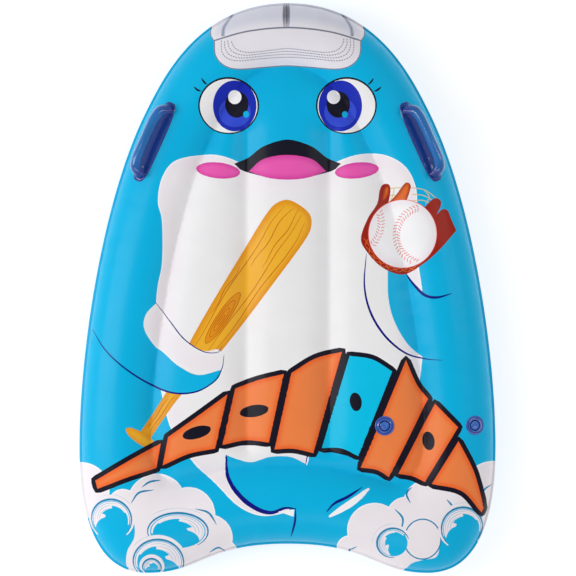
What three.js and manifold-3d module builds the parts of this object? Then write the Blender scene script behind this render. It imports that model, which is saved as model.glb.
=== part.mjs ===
// Inflatable kickboard float, in millimetres, +Z up, nose towards +Y.
// Two plastic films are welded together round the edge. A wall inside parts the outer ring chamber from
// the core, and two beams keep the core flat. Two soft handles sit on the ring, and each chamber has a
// plug valve that is pushed in flush with the film.
import * as THREE from "three";
import { mergeVertices } from "three/addons/utils/BufferGeometryUtils.js";
import Module from "manifold-3d";

const wasm = await Module();
wasm.setup();

// ---- Driving dimensions ----
const THICKNESS = 100; // of the inflated ring, from its underside to its crest
const MIDDLE = THICKNESS / 2;
const FILM = 0.4;
const GAP = 0.3; // clearance between pieces that touch
const SEAM = 3.5; // width of the welded edge
const BULGE = 14; // how far the core's film rises over its welds

// The ring's section is part of an ellipse, from the seam at 0 degrees to the wall at 140 degrees.
const RING_ANGLES = [0, 27, 54, 80, 100, 120, 140];
const FLAT_ANGLE = 80; // the crest is flat from here to 100 degrees
const CORE_CELLS = 4; // cells across the core, from the wall to a beam

// Right half of the outline, from the tail's centre to the nose, as Bezier spans.
const OUTLINE = [
  [[0, -386], [128, -386], [130, -430], [212, -430]],
  [[212, -430], [291, -430], [314, -341], [314, -239]],
  [[314, -239], [314, -98], [280, 132], [214, 265]],
  [[214, 265], [190, 312], [137, 430], [0, 430]],
];
// The chamber wall's line, span for span beside the outline.
const WALL = [
  [[0, -266], [100, -266], [140, -292], [165, -292]],
  [[165, -292], [191, -292], [205, -262], [205, -224]],
  [[205, -224], [205, -90], [165, 118], [128, 198]],
  [[128, 198], [106, 243], [75, 334], [0, 334]],
];
const SPAN_STEPS = [8, 8, 11, 9];
const CENTRE_STEPS = 2; // stations between the centre line and a beam's line

const BEAM = { x: 62, from: -240, to: 233 };
const WELD_FLANGE = 6; // width of the turned edge that welds a wall to a film

const HANDLE = { x: 204, y: 221, tilt: 24, length: 128, inner: -17, outer: 7, corner: 9, thickness: 0.8 };
const GRIP = { radius: 8, reach: 55, setBack: -11, out: 16.3, rise: 8.5, sides: 10 };

const VALVES = {
  ring: { x: 280, y: -205.5 },
  core: { x: 145, y: -206 },
};
const VALVE = { hole: 9.5, flange: 14.5, flangeThickness: 0.8, lip: 8.2, lipTop: 0.5, lipFoot: -2.6 };
const BOOT = { wall: 0.6, floor: -10.5, neck: 6.3 };
const STEM = { radius: 6, bore: 4, top: -1, foot: -17 };
const PLUG = { head: 6.75, headHeight: 2, shank: 3.7, tip: 3.2, foot: -8.5 };
const STRAP = { radius: 7.1, width: 3.5, thickness: 0.7, foot: -8 };
const FLAP = { radius: 5, thickness: 0.4 };
const LATHE_SIDES = 20;

// ---- Materials ----
const finish = (color, roughness, opacity = 1) =>
  new THREE.MeshStandardMaterial({ color, roughness, metalness: 0, opacity, transparent: opacity < 1 });
const PRINTED_FILM = finish(0x08b4e0, 0.25);
const PLAIN_FILM = finish(0x1795d2, 0.3);
const CLEAR_WALL = finish(0xbfe6f2, 0.4);
const HANDLE_VINYL = finish(0x1f3f94, 0.2, 0.9);
const VALVE_VINYL = finish(0x1c5fa8, 0.3, 0.9);
const FLAP_VINYL = finish(0xdde8ee, 0.4);

// ---- Plan curves ----
const bezier = ([a, b, c, d]) =>
  new THREE.CubicBezierCurve(new THREE.Vector2(...a), new THREE.Vector2(...b),
    new THREE.Vector2(...c), new THREE.Vector2(...d));

// Stations of the right half, tail to nose: both ends are on the centre line.
function halfStations(spans) {
  const points = [];
  spans.forEach((span, i) => {
    const curve = bezier(span);
    for (let k = 0; k < SPAN_STEPS[i]; k++) points.push(curve.getPoint(k / SPAN_STEPS[i]));
  });
  return [...points, bezier(spans.at(-1)).getPoint(1)];
}

// The closed loop runs tail, right side, nose, left side.
function closedLoop(half) {
  const mirrored = half.slice(1, -1).reverse().map((p) => new THREE.Vector2(-p.x, p.y));
  return [...half, ...mirrored];
}

const wallHalf = halfStations(WALL);
const wallLoop = closedLoop(wallHalf);
const outlineLoop = closedLoop(halfStations(OUTLINE));

function isInside(loop, x, y) {
  let inside = false;
  loop.forEach((a, i) => {
    const b = loop[(i + 1) % loop.length];
    if (a.y > y !== b.y > y && x < a.x + ((y - a.y) / (b.y - a.y)) * (b.x - a.x)) inside = !inside;
  });
  return inside;
}

// ---- Height of the inflated core ----
// A membrane under pressure, held at the wall and at the beams, on a square grid over the right half.
function inflateCore() {
  const cell = 6;
  const low = -300;
  const columns = Math.ceil(210 / cell) + 2;
  const rows = Math.ceil((340 - low) / cell) + 1;
  const height = new Float64Array(columns * rows);
  const at = (i, j) => j * columns + Math.abs(i);
  const beamColumn = Math.round(BEAM.x / cell);
  const free = (i, j) => {
    const y = low + j * cell;
    const onBeam = i === beamColumn && y >= BEAM.from && y <= BEAM.to;
    return !onBeam && isInside(wallLoop, i * cell, y);
  };
  const freeCells = [];
  for (let j = 1; j < rows - 1; j++) {
    for (let i = 0; i < columns - 1; i++) if (free(i, j)) freeCells.push([i, j]);
  }
  for (let sweep = 0; sweep < 400; sweep++) {
    for (const [i, j] of freeCells) {
      const around = height[at(i - 1, j)] + height[at(i + 1, j)] + height[at(i, j - 1)] + height[at(i, j + 1)];
      height[at(i, j)] += 1.8 * (around / 4 + 1 - height[at(i, j)]);
    }
  }
  const scale = BULGE / Math.max(...height);
  return (x, y) => {
    const u = Math.abs(x) / cell;
    const v = (y - low) / cell;
    const i = Math.floor(u);
    const j = Math.floor(v);
    const lower = height[at(i, j)] * (1 + i - u) + height[at(i + 1, j)] * (u - i);
    const upper = height[at(i, j + 1)] * (1 + i - u) + height[at(i + 1, j + 1)] * (u - i);
    return scale * (lower * (1 + j - v) + upper * (v - j));
  };
}

// ---- The upper film's outer surface, as rows of points that share their borders ----
const radians = THREE.MathUtils.degToRad;
const seamHeight = GAP / 2 + FILM;
const ringHeight = (angle) =>
  MIDDLE + seamHeight + ((MIDDLE - seamHeight) * Math.sin(radians(angle))) / Math.sin(radians(FLAT_ANGLE));
const wallHeight = ringHeight(RING_ANGLES.at(-1));

function ringRow(outer, wall) {
  const seam = outer.clone().lerp(wall, SEAM / outer.distanceTo(wall));
  const whole = 1 - Math.cos(radians(RING_ANGLES.at(-1)));
  const tube = RING_ANGLES.map((angle) => {
    const p = seam.clone().lerp(wall, (1 - Math.cos(radians(angle))) / whole);
    return new THREE.Vector3(p.x, p.y, ringHeight(angle));
  });
  return [new THREE.Vector3(outer.x, outer.y, MIDDLE + seamHeight), ...tube];
}

// The line that parts the right side of the core from its centre: up the beam, then across to the middle.
function beamPath() {
  const rows = wallHalf.length - 1 - 2 * CENTRE_STEPS;
  const foot = wallHalf[CENTRE_STEPS];
  const path = [foot];
  for (let k = 0; k < rows; k++) {
    path.push(new THREE.Vector2(BEAM.x, THREE.MathUtils.lerp(BEAM.from, BEAM.to, k / (rows - 1))));
  }
  for (let k = 1; k <= CENTRE_STEPS; k++) {
    path.push(new THREE.Vector2(BEAM.x * (1 - k / CENTRE_STEPS), BEAM.to));
  }
  return path;
}

function coreRows(sampleBulge) {
  const lift = (p, held) => new THREE.Vector3(p.x, p.y, wallHeight + (held ? 0 : sampleBulge(p.x, p.y)));
  const path = beamPath();
  const beamRows = path.length - CENTRE_STEPS;
  const side = path.map((inner, k) => {
    const wall = wallHalf[CENTRE_STEPS + k];
    const row = [];
    for (let c = 0; c <= CORE_CELLS; c++) {
      const onBeam = c === CORE_CELLS && k < beamRows;
      row.push(lift(wall.clone().lerp(inner, c / CORE_CELLS), c === 0 || onBeam));
    }
    return row;
  });
  const centre = side.slice(0, beamRows).map((row, k) => {
    const edge = row.at(-1);
    const across = [];
    for (let c = CENTRE_STEPS; c > 0; c--) {
      const share = c / CENTRE_STEPS;
      const foot = wallHalf[c];
      const p = k === 0 ? foot : new THREE.Vector2(edge.x * share, edge.y);
      across.push(c === CENTRE_STEPS ? edge : lift(p, k === 0));
    }
    across.push(lift(k === 0 ? wallHalf[0] : new THREE.Vector2(0, edge.y), k === 0));
    return across;
  });
  return { side, centre };
}

// Two triangles for each cell between neighbouring rows. A cell with two equal corners gives one.
function stitch(rows, corners, mirror) {
  const flip = ([a, b, c]) => (mirror ? [a, c, b] : [a, b, c]);
  const place = (p) => (mirror ? new THREE.Vector3(-p.x, p.y, p.z) : p);
  for (let k = 0; k + 1 < rows.length; k++) {
    for (let c = 0; c + 1 < rows[k].length; c++) {
      const [p, q, r, s] = [rows[k][c], rows[k + 1][c], rows[k + 1][c + 1], rows[k][c + 1]];
      for (const triangle of [[p, q, r], [p, r, s]]) {
        const [i, j, l] = flip(triangle).map(place);
        const area = j.clone().sub(i).cross(l.clone().sub(i)).length();
        if (area > 1e-6) corners.push(i, j, l);
      }
    }
  }
}

function upperSurface() {
  const corners = [];
  const ring = outlineLoop.map((outer, i) => ringRow(outer, wallLoop[i]));
  stitch([...ring, ring[0]], corners, false);
  const { side, centre } = coreRows(inflateCore());
  for (const mirror of [false, true]) {
    stitch(side, corners, mirror);
    stitch(centre, corners, mirror);
  }
  const surface = mergeVertices(new THREE.BufferGeometry().setFromPoints(corners), 1e-3);
  surface.computeVertexNormals();
  return surface;
}

const surface = upperSurface();

// ---- Solids made from the surface ----
const solid = (geometry) => {
  const bare = geometry.clone();
  for (const name of Object.keys(bare.attributes)) if (name !== "position") bare.deleteAttribute(name);
  const merged = mergeVertices(bare, 1e-3);
  return new wasm.Manifold(new wasm.Mesh({
    numProp: 3,
    vertProperties: new Float32Array(merged.attributes.position.array),
    triVerts: new Uint32Array(merged.index.array),
  }));
};

function geometryOf(manifold) {
  const mesh = manifold.getMesh();
  const geometry = new THREE.BufferGeometry();
  geometry.setAttribute("position", new THREE.BufferAttribute(mesh.vertProperties, 3));
  geometry.setIndex(new THREE.BufferAttribute(mesh.triVerts, 1));
  return geometry;
}

// Closes the space between two copies of the surface, each given by a function of a vertex.
function between(lowerPoint, upperPoint) {
  const position = surface.attributes.position;
  const normal = surface.attributes.normal;
  const index = surface.index.array;
  const count = position.count;
  const vertices = [];
  for (const place of [upperPoint, lowerPoint]) {
    for (let i = 0; i < count; i++) {
      const p = new THREE.Vector3().fromBufferAttribute(position, i);
      const n = new THREE.Vector3().fromBufferAttribute(normal, i);
      vertices.push(...place(p, n));
    }
  }
  const faces = [];
  const open = new Map();
  for (let i = 0; i < index.length; i += 3) {
    const [a, b, c] = [index[i], index[i + 1], index[i + 2]];
    faces.push(a, b, c, count + a, count + c, count + b);
    for (const [from, to] of [[a, b], [b, c], [c, a]]) {
      if (!open.delete(to + "/" + from)) open.set(from + "/" + to, [from, to]);
    }
  }
  for (const [from, to] of open.values()) {
    faces.push(to, from, count + from, to, count + from, count + to);
  }
  const geometry = new THREE.BufferGeometry();
  geometry.setAttribute("position", new THREE.Float32BufferAttribute(vertices, 3));
  return geometry.setIndex(faces);
}

const offset = (distance) => (p, n) => p.clone().addScaledVector(n, distance);
const layer = (low, high) => solid(between(offset(low), offset(high)));

// The place on the surface above or below a plan point, with the face's normal.
function dropOnto(x, y) {
  const index = surface.index.array;
  const corner = (i) => new THREE.Vector3().fromBufferAttribute(surface.attributes.position, index[i]);
  const ray = new THREE.Ray(new THREE.Vector3(x, y, 2 * THICKNESS), new THREE.Vector3(0, 0, -1));
  for (let i = 0; i < index.length; i += 3) {
    const triangle = new THREE.Triangle(corner(i), corner(i + 1), corner(i + 2));
    const point = ray.intersectTriangle(triangle.a, triangle.b, triangle.c, false, new THREE.Vector3());
    if (point) return { point, normal: triangle.getNormal(new THREE.Vector3()) };
  }
  throw new Error("no film at " + x + ", " + y);
}

// ---- Films, wall and beams ----
const wallTop = wallHeight - FILM - GAP;
const wallFoot = THICKNESS - wallTop;

// Section of a strip with both edges turned over: [distance to the turned side, height].
const stripSection = [
  [-FILM / 2, wallFoot],
  [WELD_FLANGE, wallFoot],
  [WELD_FLANGE, wallFoot + FILM],
  [FILM / 2, wallFoot + FILM],
  [FILM / 2, wallTop - FILM],
  [WELD_FLANGE, wallTop - FILM],
  [WELD_FLANGE, wallTop],
  [-FILM / 2, wallTop],
];

function chamberWall() {
  const count = wallLoop.length;
  const rings = wallLoop.map((p, i) => {
    const along = wallLoop[(i + 1) % count].clone().sub(wallLoop[(i + count - 1) % count]).normalize();
    return stripSection.map(([a, z]) => new THREE.Vector3(p.x - along.y * a, p.y + along.x * a, z));
  });
  const corners = [];
  const closed = rings.map((ring) => [...ring, ring[0]].reverse());
  stitch([...closed, closed[0]], corners, false);
  return new THREE.BufferGeometry().setFromPoints(corners);
}

function beam() {
  const shape = new THREE.Shape(stripSection.map(([a, z]) => new THREE.Vector2(BEAM.x - a, z)));
  const length = BEAM.to - BEAM.from;
  const geometry = new THREE.ExtrudeGeometry(shape, { depth: length, bevelEnabled: false });
  return geometry.rotateX(Math.PI / 2).translate(0, BEAM.to, 0);
}

// ---- Handles, made for the right side ----
const along = new THREE.Vector3(-Math.sin(radians(HANDLE.tilt)), Math.cos(radians(HANDLE.tilt)), 0);
const outward = new THREE.Vector3(along.y, -along.x, 0);
const handlePlan = (u, v) =>
  new THREE.Vector3(HANDLE.x, HANDLE.y, 0).addScaledVector(along, u).addScaledVector(outward, v);

// A prism through the film whose outline is a rounded rectangle in the handle's own directions.
function patchPrism() {
  const { length, inner, outer, corner } = HANDLE;
  const [left, right] = [-length / 2, length / 2];
  const shape = new THREE.Shape();
  shape.absarc(right - corner, inner + corner, corner, -Math.PI / 2, 0);
  shape.absarc(right - corner, outer - corner, corner, 0, Math.PI / 2);
  shape.absarc(left + corner, outer - corner, corner, Math.PI / 2, Math.PI);
  shape.absarc(left + corner, inner + corner, corner, Math.PI, Math.PI * 1.5);
  const prism = new THREE.ExtrudeGeometry(shape, { depth: THICKNESS, bevelEnabled: false, curveSegments: 4 });
  const frame = new THREE.Matrix4().makeBasis(along, outward, new THREE.Vector3(0, 0, -1));
  return prism.applyMatrix4(frame).translate(HANDLE.x, HANDLE.y, THICKNESS * 1.3);
}

function handlePatch() {
  const cover = layer(GAP, GAP + HANDLE.thickness);
  return geometryOf(cover.intersect(solid(patchPrism())));
}

// Centres of the grip's round ends: the line through them is the one that it leans about.
const gripClearance = GAP + HANDLE.thickness + GAP + GRIP.radius;
const gripEnds = [-GRIP.reach, GRIP.reach].map((u) => {
  const plan = handlePlan(u, GRIP.setBack);
  const { point, normal } = dropOnto(plan.x, plan.y);
  return point.addScaledVector(normal, gripClearance);
});

function gripPath() {
  const axis = gripEnds[1].clone().sub(gripEnds[0]);
  const middle = gripEnds[0].clone().lerp(gripEnds[1], 0.5);
  const u = axis.clone().normalize();
  const out = new THREE.Vector3().crossVectors(u, new THREE.Vector3(0, 0, 1)).normalize();
  const up = new THREE.Vector3().crossVectors(out, u);
  const half = axis.length() / 2;
  const shares = [[1, 0, 0], [0.88, 0.34, 0.46], [0.7, 0.78, 0.86], [0.42, 1, 0.98]];
  const place = (side) => ([s, o, r]) =>
    middle.clone().addScaledVector(u, side * s * half)
      .addScaledVector(out, o * GRIP.out)
      .addScaledVector(up, r * GRIP.rise);
  const crest = place(0)([0, 1, 1]);
  return new THREE.CatmullRomCurve3([...shares.map(place(-1)), crest, ...shares.map(place(1)).reverse()]);
}

// A tube of one radius along a curve, with a hemisphere at each end.
function roundEndedTube(curve, radius, sides, steps) {
  const frames = curve.computeFrenetFrames(steps, false);
  const ring = (centre, k, size) => {
    const points = [];
    for (let s = 0; s <= sides; s++) {
      const angle = ((s % sides) / sides) * 2 * Math.PI;
      points.push(centre.clone()
        .addScaledVector(frames.normals[k], size * Math.cos(angle))
        .addScaledVector(frames.binormals[k], size * Math.sin(angle)));
    }
    return points;
  };
  const cap = (k, sign) => [90, 60, 30].map((latitude) => {
    const centre = curve.getPointAt(k / steps);
    centre.addScaledVector(frames.tangents[k], sign * radius * Math.sin(radians(latitude)));
    return ring(centre, k, radius * Math.cos(radians(latitude)));
  });
  const body = [];
  for (let k = 0; k <= steps; k++) body.push(ring(curve.getPointAt(k / steps), k, radius));
  const corners = [];
  stitch([...cap(0, -1), ...body, ...cap(steps, 1).reverse()], corners, true);
  const mirrored = new THREE.BufferGeometry().setFromPoints(corners);
  return mirrored.scale(-1, 1, 1);
}

const grip = () => roundEndedTube(gripPath(), GRIP.radius, GRIP.sides, 18);

// ---- Valves, each in its own frame: +Z along the valve's axis, 0 at the film's outer face ----
const lathe = (profile) =>
  new THREE.LatheGeometry(profile.map(([r, z]) => new THREE.Vector2(r, z)), LATHE_SIDES).rotateX(Math.PI / 2);
const disc = (radius, low, high) => lathe([[0, low], [radius, low], [radius, high], [0, high]]);
const tube = (inner, outer, low, high) =>
  lathe([[inner, low], [outer, low], [outer, high], [inner, high], [inner, low]]);

// The flange follows the film's underside, and the lip stands in the film's hole.
function valveBase(frame) {
  const top = -FILM - GAP;
  const skirt = layer(top - VALVE.flangeThickness, top)
    .intersect(solid(disc(VALVE.flange, -12, 12).applyMatrix4(frame)));
  const lip = solid(tube(VALVE.lip, VALVE.hole - GAP, VALVE.lipFoot, VALVE.lipTop).applyMatrix4(frame));
  const bore = solid(disc(VALVE.hole - GAP - FILM / 2, -12, 12).applyMatrix4(frame));
  const made = geometryOf(skirt.subtract(bore).add(lip));
  return made.applyMatrix4(frame.clone().invert());
}

// A cup that hangs from the lip and holds the stem by its neck.
function valveBoot() {
  const top = VALVE.lipFoot - GAP;
  const { wall, floor, neck } = BOOT;
  const outer = VALVE.lip + wall;
  return lathe([
    [VALVE.lip, top], [VALVE.lip, floor + 3], [VALVE.lip - 0.5, floor + 1.2], [neck, floor + wall],
    [neck, floor], [outer - 0.8, floor], [outer, floor + 2.6], [outer, top], [VALVE.lip, top],
  ]);
}

const valveStem = () => tube(STEM.bore, STEM.radius, STEM.foot, STEM.top);

function valvePlug() {
  const seat = STEM.top + GAP;
  const top = seat + PLUG.headHeight;
  return lathe([
    [0, PLUG.foot], [PLUG.tip - 0.6, PLUG.foot], [PLUG.tip, PLUG.foot + 0.8], [PLUG.shank, seat - 1],
    [PLUG.shank, seat], [PLUG.head, seat], [PLUG.head, top - 0.5], [PLUG.head - 0.5, top], [0, top],
  ]);
}

// The strap runs from beside the plug's head down the stem, inside the lip.
function valveStrap() {
  const { radius, width, thickness, foot } = STRAP;
  const top = STEM.top + GAP + PLUG.headHeight * 0.6;
  const near = radius - thickness / 2;
  const far = radius + thickness / 2;
  const shape = new THREE.Shape([
    [near, top], [near, foot + 1.4], [STEM.radius + GAP, foot + 0.7], [STEM.radius + GAP, foot],
    [far - 0.3, foot], [far, foot + 1.2], [far, top],
  ].map(([r, z]) => new THREE.Vector2(r, z)));
  const geometry = new THREE.ExtrudeGeometry(shape, { depth: width, bevelEnabled: false });
  return geometry.rotateX(Math.PI / 2).translate(0, width / 2, 0);
}

function valveFlap() {
  const top = STEM.foot - GAP;
  return disc(FLAP.radius, top - FLAP.thickness, top);
}

function valveFrame({ x, y }) {
  const { point, normal } = dropOnto(x, y);
  const side = new THREE.Vector3(1, 0, 0).projectOnPlane(normal).normalize();
  const frame = new THREE.Matrix4().makeBasis(side, new THREE.Vector3().crossVectors(normal, side), normal);
  return frame.setPosition(point);
}

const frames = Object.fromEntries(Object.entries(VALVES).map(([name, place]) => [name, valveFrame(place)]));

// ---- Assembly ----
const mesh = (name, geometry, material) => {
  const made = new THREE.Mesh(geometry, material);
  made.name = name;
  return made;
};

const group = new THREE.Group();

const film = layer(-FILM, 0);
const holes = Object.values(frames).map((frame) => solid(disc(VALVE.hole, -12, 12).applyMatrix4(frame)));
const topFilm = holes.reduce((sheet, hole) => sheet.subtract(hole), film);
group.add(mesh("top_sheet", geometryOf(topFilm), PRINTED_FILM));

const bottomSheet = mesh("bottom_sheet", geometryOf(film), PLAIN_FILM);
bottomSheet.scale.z = -1;
bottomSheet.position.z = THICKNESS;
group.add(bottomSheet);

group.add(mesh("chamber_wall", chamberWall(), CLEAR_WALL));
group.add(mesh("right_beam", beam(), CLEAR_WALL));

const leftBeam = mesh("left_beam", beam(), CLEAR_WALL);
leftBeam.scale.x = -1;
group.add(leftBeam);

for (const side of ["right", "left"]) {
  const handle = new THREE.Group();
  handle.scale.x = side === "right" ? 1 : -1;
  handle.add(mesh(side + "_handle_patch", handlePatch(), HANDLE_VINYL));
  handle.add(mesh(side + "_grip", grip(), HANDLE_VINYL));
  group.add(handle);
}

for (const [name, frame] of Object.entries(frames)) {
  const valve = new THREE.Group();
  valve.applyMatrix4(frame);
  valve.add(mesh(name + "_valve_base", valveBase(frame), VALVE_VINYL));
  valve.add(mesh(name + "_valve_boot", valveBoot(), VALVE_VINYL));
  valve.add(mesh(name + "_valve_stem", valveStem(), VALVE_VINYL));
  valve.add(mesh(name + "_valve_plug", valvePlug(), VALVE_VINYL));
  valve.add(mesh(name + "_valve_strap", valveStrap(), VALVE_VINYL));
  valve.add(mesh(name + "_valve_flap", valveFlap(), FLAP_VINYL));
  group.add(valve);
}

export default group;
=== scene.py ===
"""Looks of an air-filled kickboard float: printed film, wrist handles and two air valves."""

import logging
import math
from dataclasses import dataclass, field
from enum import Enum
from typing import Optional, Sequence

import bpy
import numpy as np
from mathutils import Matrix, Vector, geometry, kdtree

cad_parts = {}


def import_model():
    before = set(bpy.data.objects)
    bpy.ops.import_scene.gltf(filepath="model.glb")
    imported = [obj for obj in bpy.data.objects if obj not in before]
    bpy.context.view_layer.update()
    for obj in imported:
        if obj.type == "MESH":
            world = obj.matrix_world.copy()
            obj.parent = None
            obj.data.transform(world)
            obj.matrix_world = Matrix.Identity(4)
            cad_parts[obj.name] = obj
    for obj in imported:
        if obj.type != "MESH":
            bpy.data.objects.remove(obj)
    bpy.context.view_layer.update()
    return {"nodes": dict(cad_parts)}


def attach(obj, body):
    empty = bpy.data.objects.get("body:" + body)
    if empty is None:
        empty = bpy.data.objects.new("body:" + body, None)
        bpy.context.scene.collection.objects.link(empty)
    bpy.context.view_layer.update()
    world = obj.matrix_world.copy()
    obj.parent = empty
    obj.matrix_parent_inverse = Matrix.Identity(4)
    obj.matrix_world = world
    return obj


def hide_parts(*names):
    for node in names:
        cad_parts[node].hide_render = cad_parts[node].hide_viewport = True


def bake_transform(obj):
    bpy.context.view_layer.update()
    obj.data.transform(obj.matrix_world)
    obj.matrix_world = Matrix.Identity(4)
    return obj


LOG = logging.getLogger("kickboard")
MM = 0.001
Point = tuple[float, float]
Array = np.ndarray

# Sizes of the welded float, in millimetres.
MIDDLE = 50.0  # height of the rim, where the two films meet
HALF_WELD = 0.55  # half the rim's thickness
SEAM = 3.5  # width of the flat rim weld
WALL_ANGLE = math.radians(140.0)  # how far round its bulge the film meets the chamber wall
CREST_ANGLE = math.radians(80.0)  # how far round its bulge the film passes twice the rim's height
BEAM_X = 62.0  # how far each beam is from the long axis
BEAM_ENDS = (-240.0, 233.0)  # where the beams' welds end, towards the tail and the nose
UNROLL = 58.0  # radius of the quarter round that stands for the flank when it is unrolled
WELD_ROUND = 3.0  # rounding of the film over a beam's weld
SHIFT = (math.pi / 2.0 - 1.0) * UNROLL  # how much wider the unrolled flank is than its plan
STEP = 3.5  # usual spacing of a printed line's points
FADE = 20.0  # usual reach of a shape's softer rim
NEVER_ZERO = 1e-9  # keeps a divisor from being nought
RING_VALVE = (280.0, -205.5, 93.048)
CORE_VALVE = (145.0, -206.0, 94.309)

OUTLINE = (
    ((0, -386), (128, -386), (130, -430), (212, -430)),
    ((212, -430), (291, -430), (314, -341), (314, -239)),
    ((314, -239), (314, -98), (280, 132), (214, 265)),
    ((214, 265), (190, 312), (137, 430), (0, 430)),
)
WALL = (
    ((0, -266), (100, -266), (140, -292), (165, -292)),
    ((165, -292), (191, -292), (205, -262), (205, -224)),
    ((205, -224), (205, -90), (165, 118), (128, 198)),
    ((128, 198), (106, 243), (75, 334), (0, 334)),
)


# ---------------------------------------------------------------- plan lines


def bezier(points: Sequence[Point], count: int) -> Array:
    """Samples one cubic curve.

    Args:
        points: The four control points.
        count: How many samples, both ends included.

    Returns:
        The samples, one row each.
    """
    t = np.linspace(0.0, 1.0, count)[:, None]
    p = np.array(points, float)
    return (1 - t) ** 3 * p[0] + 3 * (1 - t) ** 2 * t * p[1] + 3 * (1 - t) * t**2 * p[2] + t**3 * p[3]


def even(line: Array, step: float, closed: bool) -> Array:
    """Spaces a line's points evenly.

    Args:
        line: The points to respace.
        step: The spacing wanted, in millimetres.
        closed: Whether the line returns to its start.

    Returns:
        The respaced points, the first not repeated where the line is closed.
    """
    path = np.vstack([line, line[:1]]) if closed else line
    along = np.concatenate([[0.0], np.cumsum(np.linalg.norm(np.diff(path, axis=0), axis=1))])
    count = max(int(math.ceil(along[-1] / step)), 3)
    stations = np.linspace(0.0, along[-1], count + 1)
    if closed:
        stations = stations[:-1]
    return np.column_stack([np.interp(stations, along, path[:, axis]) for axis in (0, 1)])


def catmull(points: Array, closed: bool, count: int = 14) -> Array:
    """Draws a smooth line through points.

    Args:
        points: The points that the line passes through.
        closed: Whether it returns to its start.
        count: Samples from each point to the next.

    Returns:
        The samples, the last point not repeated where the line is closed.
    """
    if closed:
        ring = np.vstack([points[-1:], points, points[:2]])
    else:
        ring = np.vstack([2 * points[0] - points[1], points, 2 * points[-1] - points[-2]])
    t = (np.arange(count) / count)[:, None]
    runs = []
    for a, b, c, d in zip(ring[:-3], ring[1:-2], ring[2:-1], ring[3:]):
        bend = 2 * a - 5 * b + 4 * c - d
        runs.append(0.5 * (2 * b + (c - a) * t + bend * t**2 + (3 * b - 3 * c + d - a) * t**3))
    if not closed:
        runs.append(points[-1:])
    return np.vstack(runs)


def through(points: Sequence[Point], corners: Sequence[int] = (), step: float = STEP) -> Array:
    """Draws a closed outline through points, with a sharp turn where asked.

    Args:
        points: The points in order.
        corners: Positions in the list of the points that are sharp.
        step: The spacing of the result, in millimetres.

    Returns:
        The outline's points.
    """
    p = np.array(points, float)
    if not corners:
        return even(catmull(p, True), step, True)
    marks = sorted(corners)
    runs = []
    for place, first in enumerate(marks):
        last = marks[(place + 1) % len(marks)]
        count = (last - first) % len(p) or len(p)
        run = p[[(first + k) % len(p) for k in range(count + 1)]]
        drawn = even(catmull(run, False) if len(run) > 2 else run, step, False)
        runs.append(drawn[:-1])
    return np.vstack(runs)


def open_line(points: Sequence[Point], step: float = STEP) -> Array:
    """Draws a smooth open line through points.

    Args:
        points: The points in order.
        step: The spacing of the result, in millimetres.

    Returns:
        The line's points, evenly spaced.
    """
    return even(catmull(np.array(points, float), False), step, False)


def turns(count: int) -> Array:
    """Divides a full turn into equal angles, in radians."""
    return np.arange(count) * 2 * math.pi / count


def directions(line: Array) -> Array:
    """Finds the unit direction of a line at each of its points."""
    ahead = np.gradient(line, axis=0)
    return ahead / (np.linalg.norm(ahead, axis=1)[:, None] + NEVER_ZERO)


def ribbon(line: Array, width: float, taper: float = 0.0) -> Array:
    """Gives a line a width.

    Args:
        line: The middle of the stroke.
        width: Its full width, in millimetres.
        taper: The share of the width that is lost at both ends, 0 to 1.

    Returns:
        The closed outline of the stroke.
    """
    thinnest = 0.12
    ahead = directions(line)
    side = np.column_stack([-ahead[:, 1], ahead[:, 0]])
    t = np.linspace(0.0, 1.0, len(line))
    swell = 1.0 - taper * (1.0 - np.sin(math.pi * t) ** 0.8)
    half = side * (0.5 * width * np.maximum(swell, thinnest))[:, None]
    return np.vstack([line + half, (line - half)[::-1]])


def oval(x: float, y: float, wide: float, high: float, tilt: float = 0.0, step: float = 3.0) -> Array:
    """Draws an ellipse.

    Args:
        x: Middle, to the right.
        y: Middle, towards the nose.
        wide: Half the width before the tilt.
        high: Half the height before the tilt.
        tilt: Degrees turned to the left.
        step: The spacing of the points.

    Returns:
        The closed outline.
    """
    count = max(int(math.pi * (wide + high) / step), 12)
    turn = turns(count)
    c, s = math.cos(math.radians(tilt)), math.sin(math.radians(tilt))
    u, v = wide * np.cos(turn), high * np.sin(turn)
    return np.column_stack([x + u * c - v * s, y + u * s + v * c])


def arc(x: float, y: float, radius: float, start: float, end: float, step: float = 3.0) -> Array:
    """Samples a circle from one angle to another.

    Args:
        x: Middle, to the right.
        y: Middle, towards the nose.
        radius: The circle's radius.
        start: The first angle, in degrees.
        end: The last angle, in degrees.
        step: The spacing of the points.

    Returns:
        The samples, both ends included.
    """
    count = max(int(abs(math.radians(end - start)) * radius / step), 5)
    turn = np.radians(np.linspace(start, end, count))
    return np.column_stack([x + radius * np.cos(turn), y + radius * np.sin(turn)])


def grow(outline: Array, distance: float) -> Array:
    """Moves a closed, counter-clockwise outline outward.

    Args:
        outline: The outline.
        distance: How far it moves, in millimetres.

    Returns:
        The larger outline.
    """
    ahead = np.roll(outline, -1, 0) - outline
    ahead /= np.linalg.norm(ahead, axis=1)[:, None] + NEVER_ZERO
    turn = ahead + np.roll(ahead, 1, 0)
    turn /= np.linalg.norm(turn, axis=1)[:, None] + NEVER_ZERO
    return outline + distance * np.column_stack([turn[:, 1], -turn[:, 0]])


def mirror(outline: Array) -> Array:
    """Mirrors an outline about the long axis."""
    return outline[::-1] * (-1.0, 1.0)


def mirrored(half: Sequence[Point]) -> tuple[Point, ...]:
    """Lists the mirror images of some points, in the opposite order."""
    return tuple((-x, y) for x, y in half[::-1])


def plant(points: Array) -> kdtree.KDTree:
    """Builds a search tree over plan points.

    Args:
        points: The points to find later.

    Returns:
        The balanced tree.
    """
    tree = kdtree.KDTree(len(points))
    for index, (x, y) in enumerate(points):
        tree.insert((x, y, 0.0), index)
    tree.balance()
    return tree


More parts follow.
